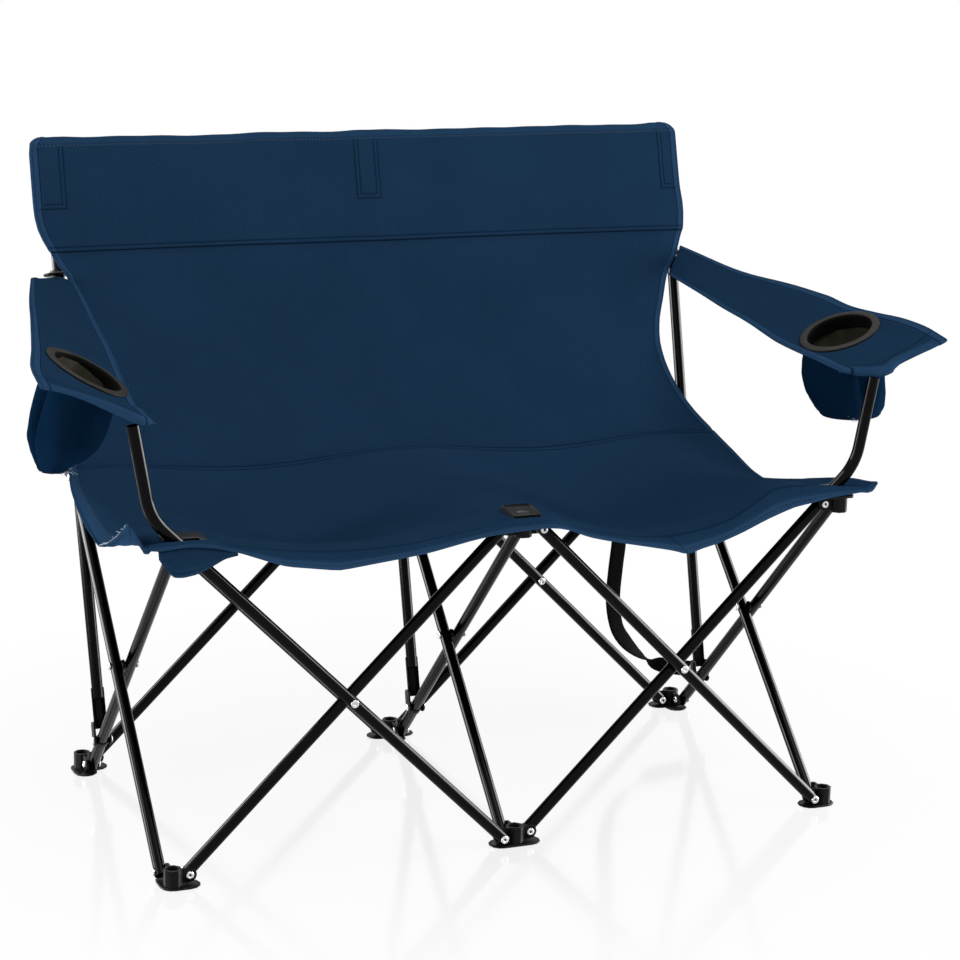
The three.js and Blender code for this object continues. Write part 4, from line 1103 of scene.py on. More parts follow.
across_mm = columns[None, :]
share = across_mm / WIDE
from_side = np.minimum(across_mm, WIDE - across_mm)
print("back grid:", len(z), "rows of", len(columns))

# %% Back width
LEFT_OUT, RIGHT_OUT, RIGHT_IN = 6, 3, 3.5  # how far the edges stand out of their outline
BAND_SHIFT = 6  # the back sits this much further right where the band is sewn on
round_off = np.clip((z - (BACK_TOP - CORNER)) / CORNER, 0, 1)
half = back_half(z) - CORNER * (1 - np.sqrt(1 - round_off**2 * 0.98))  # not quite a full quarter turn
left_out = -LEFT_OUT * ease(z, 690, 720)
right_out = RIGHT_OUT * ease(z, 600, 640) * (1 - ease(z, 735, 757)) - RIGHT_IN * ease(z, 750, 800)
middle = BACK_MID + BAND_SHIFT * np.exp(-(((z - 735) / 35) ** 2))
x = middle - half + share * 2 * half + left_out * (1 - share) + right_out * share
print("back:", round(float(np.ptp(x[0]))), "mm wide at the crease")

# %% Back depth and hang
HUB_OUT = 453  # where the cloth is held by an outer hub
BAND_GAP, EDGE_GAP = 4, 0.35  # between the band's two layers, and what is left of it at the side edges
POST_ROOM, POST_HALF, SLEEVE_Z = 19.5, 34, 860  # more depth round a post
CREASE_DIP, BOW, WAVE, FLUTTER, COLLAR_ROOM = 13, 7, 1.3, 1.4, 11.5
UNDER_TILT, UNDER_DROP = 2.8, 5.2  # the cloth below the band's seam
BAND_TILT, BAND_DROP = 5.0, 0.4
posts_x = np.array([post_at(name, SLEEVE_Z)[0] for name in AXES])
near_post = np.min(np.abs(x[..., None] - posts_x), axis=-1)
depth = BAND_GAP + POST_ROOM * np.exp(-((near_post / POST_HALF) ** 4))
depth *= EDGE_GAP + (1 - EDGE_GAP) * ease(from_side, 0, 8)
up = np.clip((z - CREASE_Z) / (BACK_TOP - CREASE_Z), 0, 1)
dip = CREASE_DIP * np.sin(math.pi * np.clip(np.abs(x) / HUB_OUT, 0, 1)) ** 2 * (1 - ease(z, CREASE_Z, 575))
bow = BOW * bay(x) * hang(up)
waves = ripple(x, z, 3) * WAVE * hang(up) * front_side
collar = np.exp(-(((z - 700) / 17) ** 2)) * np.exp(-((from_side / POST_HALF) ** 4))
y = back_face(np.minimum(z, FOLD_Z)) + bow + (1 - behind) * waves + behind * depth
y = y - COLLAR_ROOM * collar * front_side
flutter = FLUTTER * ripple(x, 0 * z, 9) * ease(z, 840, BACK_TOP)
side = np.clip(x / 480, -1, 1)
in_band = ease(z, 750, 785)
hung = (1 - in_band) * (UNDER_TILT * side - UNDER_DROP) + in_band * (BAND_TILT * side - BAND_DROP)
hung = ease(z, 700, 735) * hung
points = np.stack([x, y, z - dip + flutter + hung], axis=-1)
print("back:", round(float(points[..., 2].max()), 1), "mm high")

# %% [markdown]
# The seams are marked next: two rows under the band, one near the top, and a double row round each of the
# three patches over the posts. The outer patches run into the side hems, so they have only one upright row
# each.

# %% Back seams
PATCH_TOP = 880
PATCHES = ((8, 46), (479, 515), (974, WIDE - 8))
TWIN = 6  # between the two rows of a patch
IN_HEM = 15  # a row nearer than this to an edge is left out
edge_lift, edge_groove_shade, edge_hem = hem_sides(across_mm, WIDE)
band = ease(z, BAND_Z - 3, BAND_Z + 1)
seams = np.maximum(sewn(z, ROW_START + SEAM_ROWS[0]) * 0.9, sewn(z, ROW_START + SEAM_ROWS[1]) * 0.6)
top_line = sewn(z, ROW_START + TOP_ROW)
patch = 0 * x
for inset, row in zip((0, TWIN), PATCH_ROWS):
    tall = ease(z, ROW_START + row - 1, ROW_START + row) * (1 - ease(z, PATCH_TOP - 4, PATCH_TOP))
    for low, high in PATCHES:
        low, high = low + inset, high - inset
        wide = ease(across_mm, low - 1, low) * (1 - ease(across_mm, high, high + 1))
        left_row = sewn(across_mm, low) * (low > IN_HEM)
        right_row = sewn(across_mm, high) * (high < WIDE - IN_HEM)
        patch = np.maximum.reduce([patch, left_row * tall, right_row * tall, sewn(z, ROW_START + row) * wide])
doubled = 0 * x
for low, high in ((0, 46), (479, 515), (974, WIDE)):
    within = ease(across_mm, low - 1, low + 1) * (1 - ease(across_mm, high - 1, high + 1))
    doubled = np.maximum(doubled, within)
doubled *= ease(z, CREASE_Z + 343, CREASE_Z + 346)
rows = np.maximum(seams, 0.7 * top_line)
# painted shade in the seams and stitch rows; a painted highlight on the hems and on the band above the
# patches
groove_shade = np.maximum(edge_groove_shade, np.maximum(rows, 0.65 * patch) * front_side)
relief = 1.8 * band + 0.7 * doubled - 0.9 * seams - 0.5 * top_line - 0.4 * patch
hem = 0.6 * edge_hem + 0.35 * ease(z, PATCH_TOP, PATCH_TOP + 4)
back = cloth("back_cloth", points, edge_lift + relief * front_side, groove_shade, hem, 0.3 * top_line * front_side)
dress(back, POLYESTER, "cloth", "rear_post_centre", "back_panel")
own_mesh(back)

# %% [markdown]
# ### Seat
#
# The seat hangs between three front hubs, where plates clamp it, and the crease at the back. It sags
# between them in two wide bays. Its front edge is turned down in a facing, and its side edges roll up
# beside the arm posts. The CAD has three solids for it, so that it can fold; here they share one surface
# and meet edge to edge.

# %% Seat edges
FLANGE_LIFT, FLANGE_THICK, CAD_CLOTH = 10.8, 3.2, 2.5  # of the front hubs, and the cloth on them
CLOTH_Z = HUB_Z + FLANGE_LIFT + FLANGE_THICK + GAP + CAD_CLOTH
CREASE_Y = float(back_face(CREASE_Z)) - 0.6
FLAT_BACK = 36  # the front strip lies flat on the hubs up to here
FLAT_IN, FLAT_OUT, FLAT_END = 32, 421, 485  # a bay between two plates, and the outer plate's far end
SPLIT_Y = CREASE_Y * 0.7
# y with x of the side edges
LEFT_EDGE = [(-40, -519), (25, -516), (100, -514), (190, -512), (300, -508), (380, -504), (CREASE_Y, -492)]
RIGHT_EDGE = [(-40, 549), (25, 546), (70, 536), (110, 527), (165, 521), (300, 519), (380, 516),
              (CREASE_Y, 508)]
# y with the height of the side edges
LEFT_LOW = [(-40, 449), (15, 445), (60, 433), (120, 416), (195, 400), (261, 405), (330, 413), (399, 437),
            (CREASE_Y, 441)]
RIGHT_LOW = [(-40, 451), (25, 446), (60, 450), (110, 441), (160, 429), (221, 410), (277, 397), (330, 404),
             (374, 418), (425, 437), (CREASE_Y, 446)]
# x with the height of the front hem, and how far the cloth is turned up at the right of it
FRONT_BOTTOM = [
    (-530, 455), (-516, 452), (-509, 448.5), (-493, 446), (-479, 448), (-464, 449.5), (-445, 449),
    (-426, 446.5), (-406, 441), (-390, 436), (-330, 414), (-259, 403), (-206, 409), (-174, 412.5),
    (-141, 416.5), (-98, 425), (-48, 434), (-21, 436), (23, 438), (47, 435), (72, 425), (86, 420),
    (114, 413.5), (167, 402), (203, 394), (227, 387), (250, 392.5), (275, 397.5), (311, 410), (346, 425),
    (386, 439), (444, 450), (483, 453), (516, 458), (550, 462)]
RIGHT_LIP = [(300, 0), (330, 6), (352, 12), (380, 16), (416, 18), (449, 14), (470, 11), (501, 7), (546, 9)]


def table(rows, value, spread):
    """A smoothed reading of a table of measured pairs."""
    keys, values = zip(*rows)
    return sum(np.interp(value + d * spread, keys, values) for d in (-1, -0.5, 0, 0.5, 1)) / 5


def sides_at(y):
    """Both side edges of the seat."""
    return table(LEFT_EDGE, y, 12), table(RIGHT_EDGE, y, 12)


print("seat: crease at y", round(CREASE_Y, 1), "mm, split at", round(SPLIT_Y, 1), "mm")

# %% [markdown]
# The height of the seat is worked out from what holds it. A line runs from hub to crease and hangs a
# little. From it the bays sag: near the hubs they start where the plates end, and further back at the
# tubes. The side edges then bend to their own heights, the left one with its front turned up and the right
# one over a wider strip.

# %% Seat surface
HUB_SAG, REAR_DIP, MID_DIP = 14, 13, 26
FRONT_DIP, FRONT_DIP_MORE = 34, 7  # in the middle of the two bays, more in the right one
EARLY_BAY, EARLY_EDGE = 58, 95  # on the right the bay ends earlier, and the edge starts earlier
LEFT_STRIP, RIGHT_STRIP = 23, 35  # width of the bent edges
LEFT_BEND, RIGHT_BEND = 1.4, 1.15  # how sharply they bend
LEFT_TURN_UP, LEFT_LIP = 25, 6
SEAT_WAVE = 1.2


def seat_top(x, y):
    share = np.clip((CREASE_Y - y) / (CREASE_Y - FLAT_BACK), 0, 1)
    hub_line = CREASE_Z + (CLOTH_Z - CREASE_Z) * share - HUB_SAG * hang(share)
    front_dip = FRONT_DIP + FRONT_DIP_MORE * np.clip(x / 60, -1, 1)
    dip = REAR_DIP + (front_dip - REAR_DIP) * share + MID_DIP * hang(share)
    out = np.abs(x)
    flat_out = FLAT_OUT - EARLY_BAY * (x > 0) * (1 - ease(y, 30, 120))
    tight = hang(np.clip((out - FLAT_IN) / (flat_out - FLAT_IN), 0, 1))
    slack = np.sin(math.pi * np.clip(out / HUB_OUT, 0, 1)) ** 2
    sag = tight + (slack - tight) * ease(y, FLAT_BACK, 200)
    wave = ripple(x, y, 5) * SEAT_WAVE * ease(y, 40, 110) * (1 - ease(y, CREASE_Y - 60, CREASE_Y))
    middle = hub_line - dip * sag + wave
    early = EARLY_EDGE * ease(y, 45, 140) * (x > 0)
    edge = np.clip((out - FLAT_END + early) / (np.where(x < 0, LEFT_STRIP, RIGHT_STRIP) + early), 0, 1)
    edge = edge ** np.where(x < 0, LEFT_BEND, RIGHT_BEND)
    low = np.where(x < 0, table(LEFT_LOW, y, 12), table(RIGHT_LOW, y, 12))
    turned_up = LEFT_TURN_UP * np.clip((195 - y) / 173, 0, 1) * np.clip((-x - 506.5) / 8, 0, 1.2)
    past_plate = ease(x, 405, 428) * (1 - ease(x, 482, 505))  # here the lip stays in front of the clamp plate
    before_plate = 1 - ease(y, -23, -14)
    lip = table(RIGHT_LIP, x, 8) * ((1 - past_plate) * (1 - ease(y, 0, 60)) + past_plate * before_plate)
    lip = lip + LEFT_LIP * ease(-x, 405, 432) * (1 - ease(-x, 500, 508)) * before_plate
    return middle + (low - middle) * edge + turned_up + lip


def seat_rows(y_rows):
    """Points of the seat on rows from front to rear."""
    y = y_rows[:, None]
    left, right = sides_at(y)
    x = left + (right - left) * seat_columns[None, :] / SEAT_WIDE
    return np.stack([x, y + 0 * x, seat_top(x, y)], axis=-1)


SEAT_WIDE = 1030
seat_columns = places(SEAT_WIDE, 12, [699, 705, 711, 717, 723])  # closer at the crease in the front facing
# side hems: raised, with painted shade in their stitch rows and a painted highlight on the doubled cloth
side_lift, side_groove_shade, side_hem = hem_sides(seat_columns[None, :], SEAT_WIDE)
side_thread = 0.5 * sewn(seat_columns[None, :], HEM_LINE, 0.5)
print("seat:", len(seat_columns), "columns")


# %% Seat, middle and rear
def seat_piece(name, points, lift=0.0, groove_shade=0.0, hem=0.0, thread=0.0):
    """A piece of the seat, with the hems of its side edges."""
    return cloth(name, points, side_lift + lift, np.maximum(side_groove_shade, groove_shade),
                 np.maximum(0.6 * side_hem, hem), np.maximum(side_thread, thread))


rows = places(SPLIT_Y - FLAT_BACK, 11, [], False, False)
seat_front = seat_piece("seat_middle_cloth", seat_rows(FLAT_BACK + rows))
dress(seat_front, POLYESTER, "cloth", "seat_front", "seat_front")
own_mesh(seat_front)

rear_long = CREASE_Y - SPLIT_Y - 0.3
rows = places(rear_long, 11, [rear_long - 9, rear_long - 0.5], False, False)
to_crease = (rear_long - rows)[:, None]
# the seam at the crease is sunk and painted with shade
crease = np.maximum(sewn(to_crease, 0.5, 1.4), 0.75 * sewn(to_crease, 9))
seat_rear = seat_piece("seat_rear_cloth", seat_rows(SPLIT_Y + rows), -0.8 * crease, crease)
dress(seat_rear, POLYESTER, "cloth", "seat_rear", "seat_rear")
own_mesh(seat_rear)

# %% [markdown]
# The front strip lies under the clamp plates. In front of them its edge turns down over the hub flanges;
# between them it slopes to the sagging hem. The arm posts come up through it, so it is cut there.

# %% Seat, front strip
FRONT_Y = -25.0
FACING = np.array([0, 0.04, 0.08, 0.14, 0.2, 0.3, 0.45, 0.6, 0.72, 0.82, 0.9, 0.96])  # shares of its height
FLAT = np.linspace(0, 1, 9)  # shares of the way from the fold to the middle cloth
CREASE_X, CREASE_SLANT = 227, 22  # a crease in the right bay
RIGHT_EAR, LEFT_EAR = 52, 50  # how far the hem goes back at the corners
TOP_BACK, TOP_BACK_MORE = 3.2, 12  # from the hem back to the fold, at a hub and between two
POST_HOLE = 10.5


def from_hub(x):
    """Distance from the nearest hub."""
    return np.minimum(np.abs(x), np.abs(np.abs(x) - HUB_OUT))


def front_y(x):
    """Where the hem of the front edge lies."""
    right_ear = RIGHT_EAR * np.clip((x - 500) / 46, 0, 1.1) ** 1.3
    left_ear = LEFT_EAR * np.clip((-x - 502) / 16, 0, 1.1)
    return FRONT_Y - 3 * (1 - ease(from_hub(x), 34, 70)) + right_ear + left_ear


def fold_y(x):
    """Where the top turns down into the facing."""
    return np.minimum(front_y(x) + TOP_BACK + TOP_BACK_MORE * ease(from_hub(x), 36, 120), 30)


x = seat_rows(np.array([FRONT_Y]))[0, :, 0]
top_y, low_y = fold_y(x), front_y(x)
top_z = seat_top(x, top_y)
low_z = np.minimum(table(FRONT_BOTTOM, x, 7), top_z - 1.5 - 4.5 * (1 - ease(x, 515, 546)))
strip = []
for share in FACING:
    pulled_in = 1.5 * hang(share) + 4 * sewn(x, CREASE_X - CREASE_SLANT * share, 17)
    y = low_y + (top_y - low_y) * share - pulled_in
    strip.append(np.stack([x, y, low_z + (top_z - low_z) * share**0.9], axis=-1))
for share in FLAT:
    x = seat_rows(np.array([FRONT_Y + (FLAT_BACK - FRONT_Y) * share]))[0, :, 0]
    y = fold_y(x) + (FLAT_BACK - fold_y(x)) * share
    strip.append(np.stack([x, y, seat_top(x, y)], axis=-1))
points = np.array(strip)
up_facing = np.concatenate([FACING, np.full(len(FLAT), 9.0)])[:, None]  # 9 is past the facing
# the low hem is raised and painted with a highlight, and its stitch line with shade
low_hem = 1 - ease(up_facing, 0.3, 0.5)
low_line = sewn(up_facing, 0.2, 0.05)
fold_line = np.zeros_like(up_facing)
fold_line[len(FACING) - 1 : len(FACING) + 1] = 1
front_x = points[..., 0]
# painted shade along the fold in both bays, and in the crease of the right bay
bays = sum(dark * ease(way * front_x, 45, 100) * (1 - ease(way * front_x, 395, 435))
           for way, dark in ((1, 0.4), (-1, 0.3)))
crease = 0.5 * sewn(front_x, CREASE_X - CREASE_SLANT * up_facing, 1.6) * (up_facing < 1)
groove_shade = np.maximum.reduce([0.6 * low_line + 0 * front_x, fold_line * bays, crease])
seat_edge = seat_piece("seat_front_cloth", points, 0.7 * low_hem - 0.5 * low_line, groove_shade, 0.8 * low_hem,
                       0.15 * low_line)
for letter in "bc":
    low, high = cross_line(0, letter)
    run_up = (high - low).normalized()
    cut_round(seat_edge, POST_HOLE, high + run_up * 4 * MM, high + run_up * 90 * MM)
dress(seat_edge, POLYESTER, "cloth", "hub_front_centre", "seat_edge")
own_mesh(seat_edge)

# %% [markdown]
# At the left corner the end of the facing has come loose and hangs down in a small flap.

# %% Corner flap
FLAP = [(-494, 440), (-490, 430), (-482, 421), (-476, 412.5), (-463, 411.5), (-446, 414), (-432, 419),
        (-421, 424), (-410, 430), (-402, 432), (-392, 434)]  # x with the height of its lower edge
FLAP_ROWS = np.array([0, 0.03, 0.07, 0.13, 0.2, 0.35, 0.5, 0.7, 0.85, 1.0])
FLAP_Y, FLAP_WAVE, FLAP_THICK = -27.5, 1.7, 1.2
flap_x = np.linspace(-493, -393, 40)
low = table(FLAP, flap_x, 3)
high = table(FRONT_BOTTOM, flap_x, 7) + 2
grid = []
for share in FLAP_ROWS:
    out = FLAP_Y + 3.5 * share**3 + FLAP_WAVE * np.sin(flap_x / 14) * (1 - share)
    grid.append(np.stack([flap_x, out, low + (high - low) * share], axis=-1))
# its lower hem is raised and painted with a highlight, its stitch line with shade
near_low = 1 - ease(FLAP_ROWS, 0.1, 0.3)[:, None]
low_line = sewn(FLAP_ROWS, 0.13, 0.04)[:, None]
flap = cloth("seat_corner_flap", np.array(grid), 0.5 * near_low, 0.4 * low_line, 0.4 * near_low,
             thick=FLAP_THICK)
dress(flap, POLYESTER, "cloth", "hub_front_centre")
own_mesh(flap)

# %% [markdown]
# ### Armrests
#
# Each armrest is a strip that hangs from the collar on the rear post to the top of the arm post, and slopes
# down towards the seat. It widens to the front around the cup ring, its long edges are hemmed, and its
# front edge is rolled down over the post. A row of stitches crosses it just behind that roll.

# %% Armrest surface
# points along the outer and inner edges, from rear to front; all are given for the right side
ARM_OUTER = [(605, 150, 670), (627, 50, 661), (629, 6, 653)]
ARM_INNER = [(482, 150, 614), (491, 50, 606), (496, -26, 606)]
ARM_REAR = {
    "left": ([(515, 552, 697), (540, 450, 688), (572, 300, 681)],
             [(453, 543, 689), (457, 450, 667), (469, 300, 641)]),
    "right": ([(494, 547, 714), (534, 450, 692), (571, 300, 682)],
              [(475, 546, 669), (477, 450, 656), (479, 300, 636)])}
FRONT_DENT = [(0, 0), (0.2, 0.004), (0.35, 0.016), (0.45, 0.027), (0.55, 0.037), (0.63, 0.031), (0.7, 0.022),
              (0.8, 0.004), (0.9, 0), (1, 0)]
ARM_SPLIT = 0.42
ARM_LONG, ARM_WIDE = 560, 120
FLAT_R, FREE_R = 58, 110  # flat under the cup ring, free beyond
ARM_SAG, LEFT_HUMP, ARM_WAVE = 3.5, 5, 0.8
RIGHT_CUT, LEFT_CUT = 0.145, 0.018  # cut off the inner front corner, as a share of the length


def cup_flat(name, x, y):
    cup, tilt = CUPS[name]
    return cup[2] + tilt[0] * (x - cup[0]) + tilt[1] * (y - cup[1])


def arm_grid(name, shares):
    """Points of an armrest on the right: rows from rear to front, columns from outer to inner edge."""
    rear_outer, rear_inner = ARM_REAR[name]
    t = arm_share[None, :]
    # the right front edge is cut off at its corner and dented; the left one is humped
    right = name == "right"
    cut = RIGHT_CUT * ease(t, 0.66, 1) if right else LEFT_CUT * ease(t, 0.8, 1)
    dent = table(FRONT_DENT, t, 0.04) if right else 0 * t
    shares = shares[:, None] * np.ones_like(t)
    shares = shares - cut * ease(shares, 0.8, 1) - dent * ease(shares, 0.93, 1)
    outer, inner = smooth_path(rear_outer + ARM_OUTER, shares), smooth_path(rear_inner + ARM_INNER, shares)
    points = outer * (1 - t[..., None]) + inner * t[..., None]
    x, y = points[..., 0], points[..., 1]
    reach = np.hypot(x - CUPS[name][0][0], y - CUPS[name][0][1])
    flat = cup_flat(name, x, y)
    bag = -ARM_SAG * hang(t) * hang(np.clip(shares, 0, 1))
    hump = 0 if right else LEFT_HUMP * hang(t) * ease(shares, 0.86, 1)
    free = points[..., 2] + bag + hump + ARM_WAVE * ripple(x, y, 12)
    points[..., 2] = flat + (free - flat) * ease(reach, FLAT_R, FREE_R)
    return points


def arm_cloth(name, side, points, lift, groove_shade, hem):
    """Half of an armrest; on the left its grid is mirrored, with its outer face still up."""
    grids = [points, lift, groove_shade, hem]
    if side < 0:
        grids = [points * np.array([-1, 1, 1]), lift, groove_shade, hem]
        grids = [grid[:, ::-1] for grid in grids]
    return cloth(name, *grids)


arm_columns = places(ARM_WIDE, 8)
arm_share = arm_columns / ARM_WIDE
arm_lift, arm_groove_shade, arm_hem = hem_sides(arm_columns[None, :], ARM_WIDE)
print("armrest:", len(arm_columns), "columns")

# %% Armrests, front half
LIP = [(-1.2, -0.5), (-2.6, -1.8), (-3.6, -3.8), (-4, -6), (-3.6, -8.5), (-2.4, -10.5)]  # forward, down
CROSS_SEAM = 30  # from the front edge
POST_X, POST_BULGE = 516, 7  # the arm post pushes the front edge out here
CUP_HOLE = 49.3
front_long = ARM_LONG * (1 - ARM_SPLIT)
front_places = places(front_long, 9, [front_long - CROSS_SEAM], False, False)
lip_deep = ((0.3 + 0.7 * ease(arm_share, 0.2, 0.7)) * (1 - 0.75 * ease(arm_share, 0.84, 1)))[:, None]
# the cross seam is sunk and painted with shade; the rolled lip is painted with a highlight
cross_seam = np.append(sewn(front_places, front_long - CROSS_SEAM), np.zeros(len(LIP)))[:, None]
lip_hem = np.append(ease(front_places, front_long - 14, front_long - 10), np.ones(len(LIP)))[:, None]
near = ease(front_places, front_long - 40, front_long)[:, None, None]
for name, side in SIDE_OF.items():
    points = arm_grid(name, ARM_SPLIT + front_places / ARM_LONG)
    bulge = np.array([0, -POST_BULGE, 0]) * np.exp(-(((points[-1, :, :1] - POST_X) / 26) ** 2))
    points = points + near * bulge[None]
    lip = [points[-1] + np.array([[0, dy, 0]]) + np.array([[0, 0, dz]]) * lip_deep for dy, dz in LIP]
    arm = arm_cloth("arm_front_" + name, side, np.concatenate([points, lip]),
                    arm_lift - 0.6 * cross_seam + 0.4 * lip_hem, np.maximum(arm_groove_shade, 0.9 * cross_seam),
                    np.maximum(0.75 * arm_hem, 0.6 * lip_hem))
    centre, up = cup_frame(name)
    cut_round(arm, CUP_HOLE, centre - Vector(up) * 30 * MM, centre + Vector(up) * 30 * MM, 48)
    body = "armrest_front_" + name
    dress(arm, POLYESTER, "cloth", body, body)

# %% [markdown]
# The rear half narrows to a tongue that goes round the rear post under its collar.

# %% Armrests, rear half
TONGUE = [(34, 1), (29, 1), (22, 1), (14, 0.75), (7, 0.35)]  # back, share of the way to the narrow end
EDGE_BY_POST = {"left": (480, 501), "right": (502, 518)}
UNDER_COLLAR, COLLAR_Y, COLLAR_SLOPE = 3.5, 570, 0.278
rear_places = places(ARM_LONG * ARM_SPLIT, 9, [], False, False)
tall = np.ones((len(TONGUE) + len(rear_places), 1))
# the tongue's end is painted with a highlight, fading along it
end_hem = np.append(np.linspace(1, 0.2, len(TONGUE)), np.zeros(len(rear_places)))[:, None]
for name, side in SIDE_OF.items():
    points = arm_grid(name, rear_places / ARM_LONG)
    x, y, z = points[0].T
    inner_x, outer_x = EDGE_BY_POST[name]
    narrow = outer_x + (inner_x - outer_x) * arm_share
    tongue = []
    for back_by, share in TONGUE:
        under_disc = COLLAR_Z - UNDER_COLLAR - COLLAR_SLOPE * (y + back_by - COLLAR_Y)
        tongue.append(np.stack([x + (narrow - x) * share, y + back_by,
                                z + (under_disc - z) * min(1, share * 1.3)], axis=-1))
    arm = arm_cloth("arm_rear_" + name, side, np.concatenate([tongue, points]), arm_lift * tall,
                    arm_groove_shade * tall, np.maximum(0.75 * arm_hem, 0.4 * end_hem))
    body = "armrest_rear_" + name
    dress(arm, POLYESTER, "cloth", body, body)

# %% [markdown]
# ### Cup pockets
#
# A pocket is a bag sewn to the ring's cloth, wide at its belly, with a round floor and a thick bottom seam.
# Inside it has a coated lining. Both are made from rings of points, one below the other, with a few soft
# folds pushed in.


# %% Cup pocket rings
# places of the middle line, shares of the way down it, and radii; all for the right side
BAG_PATH = {
    "left": [(538, 147, 633.5), (551, 147, 603), (560, 147, 574), (567, 146, 551), (572, 146, 535),
             (580, 145, 522), (582, 145, 515)],
    "right": [(546.5, 147, 638.5), (551, 147, 609), (554, 147, 588), (561, 147, 556), (566, 146, 536),
              (568, 145, 524)]}
BAG_SHARES = {"left": [0, 0.26, 0.49, 0.68, 0.81, 0.93, 1], "right": [0, 0.26, 0.44, 0.72, 0.9, 1]}
BAG_RADII = {"left": [50.2, 51.5, 51, 48, 38, 24, 16], "right": [53, 60, 61, 58, 51, 41]}
BAG_FOLDS = {  # degrees round the pocket, depth and half width
    "left": [(340, 13, 7), (262, 4, 10), (70, 6, 12), (190, 7, 14)],
    "right": [(262, 7, 7), (328, 5, 10), (60, 6, 12), (150, 5, 12)]}
BAG_SIDES = 96
BAG_FLOOR = [1.02, 1.06, 1.12, 1.25, 1.5, 1.75, 1.97]
BAG_TURNS = [*np.linspace(0, 0.92, 26), 0.95, 0.975, 1.0, *BAG_FLOOR]
BOTTOM_SEAM, SEAM_PROUD = 0.985, 1.6
PUCKERS, PUCKER, FLOOR_RISE = 7, 0.9, 4  # small waves round the pocket, their depth, and the floor's dome


def bag_points(name, inset):
    """Rings of a hanging cup from its mouth to the middle of its floor, on the right side, in mm."""
    angle = np.linspace(0, 2 * math.pi, BAG_SIDES, endpoint=False)
    rings = []
    for t in BAG_TURNS:
        fall = min(t, 1.0)
        lean = 1 - 0.9 * float(ease(fall, 0, 1))
        up = CUP_UP[name] * lean + np.array([0, 0, 1 - lean])
        up /= np.linalg.norm(up)
        right = np.cross([0, 1, 0], up)
        right /= np.linalg.norm(right)
        rear = np.cross(up, right)
        radius = np.interp(fall, BAG_SHARES[name], BAG_RADII[name]) - inset
        radius = radius + PUCKER * np.sin(angle * PUCKERS + 5 * fall) * hang(fall)
        for place, deep, wide in BAG_FOLDS[name]:
            gap = (np.degrees(angle) - place - 8 * fall + 180) % 360 - 180
            radius = radius - deep * np.exp(-((gap / wide) ** 2)) * hang(min(1, 0.12 + 0.8 * fall))
        centre = smooth_path(BAG_PATH[name], np.array([fall]))[0] + up * inset * 1.2 * fall
        if t > 1:
            radius = radius * (2 - t) + 0.4
            centre = centre + up * FLOOR_RISE * (t - 1)
        spokes = np.cos(angle)[:, None] * right + np.sin(angle)[:, None] * rear
        rings.append(centre + radius[:, None] * spokes)
    return np.array(rings)


print("pocket:", len(BAG_TURNS), "rings of", BAG_SIDES)

# %% Cup pockets
ROUND_M, ROW_M = 0.345, 0.0042  # cloth round a pocket, and between two of its rings
CLOTH_THICK, LINING_IN, LINING_THICK = 1.2, 2.0, 0.6
BAG_FLAT = {"left": (0.32, 0.13), "right": (0.38, 0.14)}


def bag(name, where, inset, thick, side):
    outer, inner = bag_points(where, inset), bag_points(where, inset + thick)
    seam = sewn(np.array(BAG_TURNS), BOTTOM_SEAM, 0.02)
    push = outer - np.array(BAG_PATH[where][-2])
    push[..., 2] *= 0.15
    outer = outer + push / np.linalg.norm(push, axis=2, keepdims=True) * (SEAM_PROUD * seam)[:, None, None]
    verts = [at(side * x, y, z) for x, y, z in np.concatenate([outer, inner]).reshape(-1, 3)]
    count, sides = len(BAG_TURNS), BAG_SIDES
    half = count * sides
    faces = [(a, d, c, b) for a, b, c, d in ring_faces(count, sides)] + ring_faces(count, sides, half)
    faces += [(i, (i + 1) % sides, half + (i + 1) % sides, half + i) for i in range(sides)]
    faces += [tuple(range(half - sides, half)), tuple(reversed(range(2 * half - sides, 2 * half)))]
    piece = new_mesh(name, verts, faces)
    face_outwards(piece)
    mesh = piece.data
    uv = mesh.uv_layers.new(name="weave")
    for polygon in mesh.polygons:
        cells = [divmod(mesh.loops[k].vertex_index % half, sides) for k in polygon.loop_indices]
        wraps = {c[1] for c in cells} >= {0, sides - 1} and len(cells) == 4
        for k, (row, column) in zip(polygon.loop_indices, cells):
            turn = column + (sides if wraps and column == 0 else 0)
            uv.data[k].uv = (turn / sides * ROUND_M, row * ROW_M)
    # the bottom seam is painted with shade and a faint highlight
    both_walls = np.tile(np.repeat(seam, sides), 2)
    paint(mesh, {"groove_shade": 0.5 * both_walls, "hem": 0.2 * both_walls, "thread": 0 * both_walls})
    smooth(piece, 45)
    return piece


for name, side in SIDE_OF.items():
    body = "armrest_front_" + name
    pocket = bag("pocket_" + name, name, 0, CLOTH_THICK, side)
    dress(pocket, SHADED_POCKET_CLOTH, "cloth", body, "cup_pocket_" + name)
    lining = bag("pocket_lining_" + name, name, LINING_IN, LINING_THICK, side)
    dress(lining, LINING, "cloth", body)
    flatten(pocket)
    flatten(lining)
    wide, deep = BAG_FLAT[name]
print("pockets: 2")

# %% [markdown]
# ### Frayed threads
#
# A few pale threads stand out where the cloth was cut: along the rolled left edge of the seat and under the
# pockets.

# %% Frayed threads
STRAND_R = 0.36
POCKET_FRAY = {"left": 14, "right": 38}  # in front of the middle of the floor


